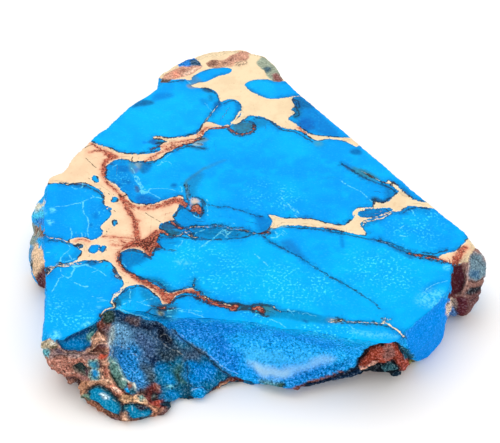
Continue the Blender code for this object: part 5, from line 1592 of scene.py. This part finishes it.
# ridges lightened, partly pale matrix and partly painted highlight
colour = rock.tint(ridge * 0.8, colour, BRIGHTENING_TINT)
colour = rock.blend(ridge * 0.3, colour, RIDGE_PALE_AND_HIGHLIGHT)
# painted shade along the creases
colour = rock.blend(crease * 0.65, colour, CREASE_SHADE)

# relief
relief = tiny * 0.012 + fine * 0.02
relief = relief + cream_share * -0.05 + rust_share * -0.06 + dark_share * -0.1 + crack_share * -0.12
relief = relief + side_share * grit * (rock.cloud(0.5, 4.0, 0.7) * 0.14 + crumb * 0.16)
bump = rock.node("ShaderNodeBump", (), {"Height": relief, "Strength": 1.0, "Distance": MM}, "Normal")
rock.feed("Base Color", colour)
rock.feed("Normal", bump)
polish = 0.36 + fine * 0.16 + cream_share * 0.2 + rust_share * 0.2 + side_share * 0.4
rock.feed("Roughness", polish.least(DULLEST))
rock.feed("Specular IOR Level", GLOSS_LEVEL)
rock.feed("Specular Tint", GLOSS_TINT)
stone_mesh.materials.clear()
stone_mesh.materials.append(rock.material)
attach(stone, "root")
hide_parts("turquoise_slab")

# The floor
# A plain white table top. It is one flat sheet, so wide that its edges lie far outside the picture, and
# the stone rests on it.
FLOOR_REACH = 3.0
TABLE_WHITE = (252, 249, 246)
TABLE_DULLNESS = 0.8


def plain(name, colour, roughness):
    """A material of one even colour."""
    finish = Finish(name)
    finish.feed("Base Color", (*linear(colour), 1.0))
    finish.feed("Roughness", roughness)
    return finish.material


work = bmesh.new()
bmesh.ops.create_grid(work, x_segments=1, y_segments=1, size=FLOOR_REACH)
floor_mesh = bpy.data.meshes.new("table")
work.to_mesh(floor_mesh)
work.free()
floor = bpy.data.objects.new("table", floor_mesh)
bpy.context.scene.collection.objects.link(floor)
floor_mesh.materials.append(plain("white_table", TABLE_WHITE, TABLE_DULLNESS))

# The light
# A light tent of white cloth, even all round, and one broad soft lamp above the stone, a little behind
# it and to its left.
LAMP_POWER = 1.4
LAMP_SIZE = 0.7
LAMP_AT = Vector((-0.12, 0.22, 0.75))
TENT_STRENGTH = 1.09
TENT_WHITE = (1.0, 1.0, 1.0, 1.0)
world = bpy.data.worlds.new("tent")
world.use_nodes = True
tent = world.node_tree.nodes["Background"]
tent.inputs["Color"].default_value = TENT_WHITE
tent.inputs["Strength"].default_value = TENT_STRENGTH
bpy.context.scene.world = world
lamp_data = bpy.data.lights.new("lamp", "AREA")
lamp_data.energy = LAMP_POWER
lamp_data.size = LAMP_SIZE
lamp = bpy.data.objects.new("lamp", lamp_data)
lamp.matrix_world = Matrix.Translation(LAMP_AT) @ (-LAMP_AT).to_track_quat("-Z", "Y").to_matrix().to_4x4()
bpy.context.scene.collection.objects.link(lamp)
bpy.context.scene.view_settings.view_transform = "Standard"

# The camera
# A long lens, 42 degrees above the table, straight in front of the stone: the place that the drawing of
# the veins was plotted from.
SENSOR = 36.0
CLOSEST = 0.01
camera_data = bpy.data.cameras.new("camera")
camera_data.sensor_width = SENSOR
camera_data.lens = SENSOR * FOCAL_PIXELS / PICTURE_SIZE[0]
camera_data.shift_x = -AXIS_OFF_MIDDLE[0] / PICTURE_SIZE[0]
camera_data.shift_y = AXIS_OFF_MIDDLE[1] / PICTURE_SIZE[0]
camera_data.clip_start = CLOSEST
camera = bpy.data.objects.new("camera", camera_data)
turn = Matrix((SIDEWAYS, upward, -ahead)).transposed().to_4x4()
camera.matrix_world = Matrix.Translation(Vector(camera_at * MM)) @ turn
bpy.context.scene.collection.objects.link(camera)
bpy.context.scene.camera = camera
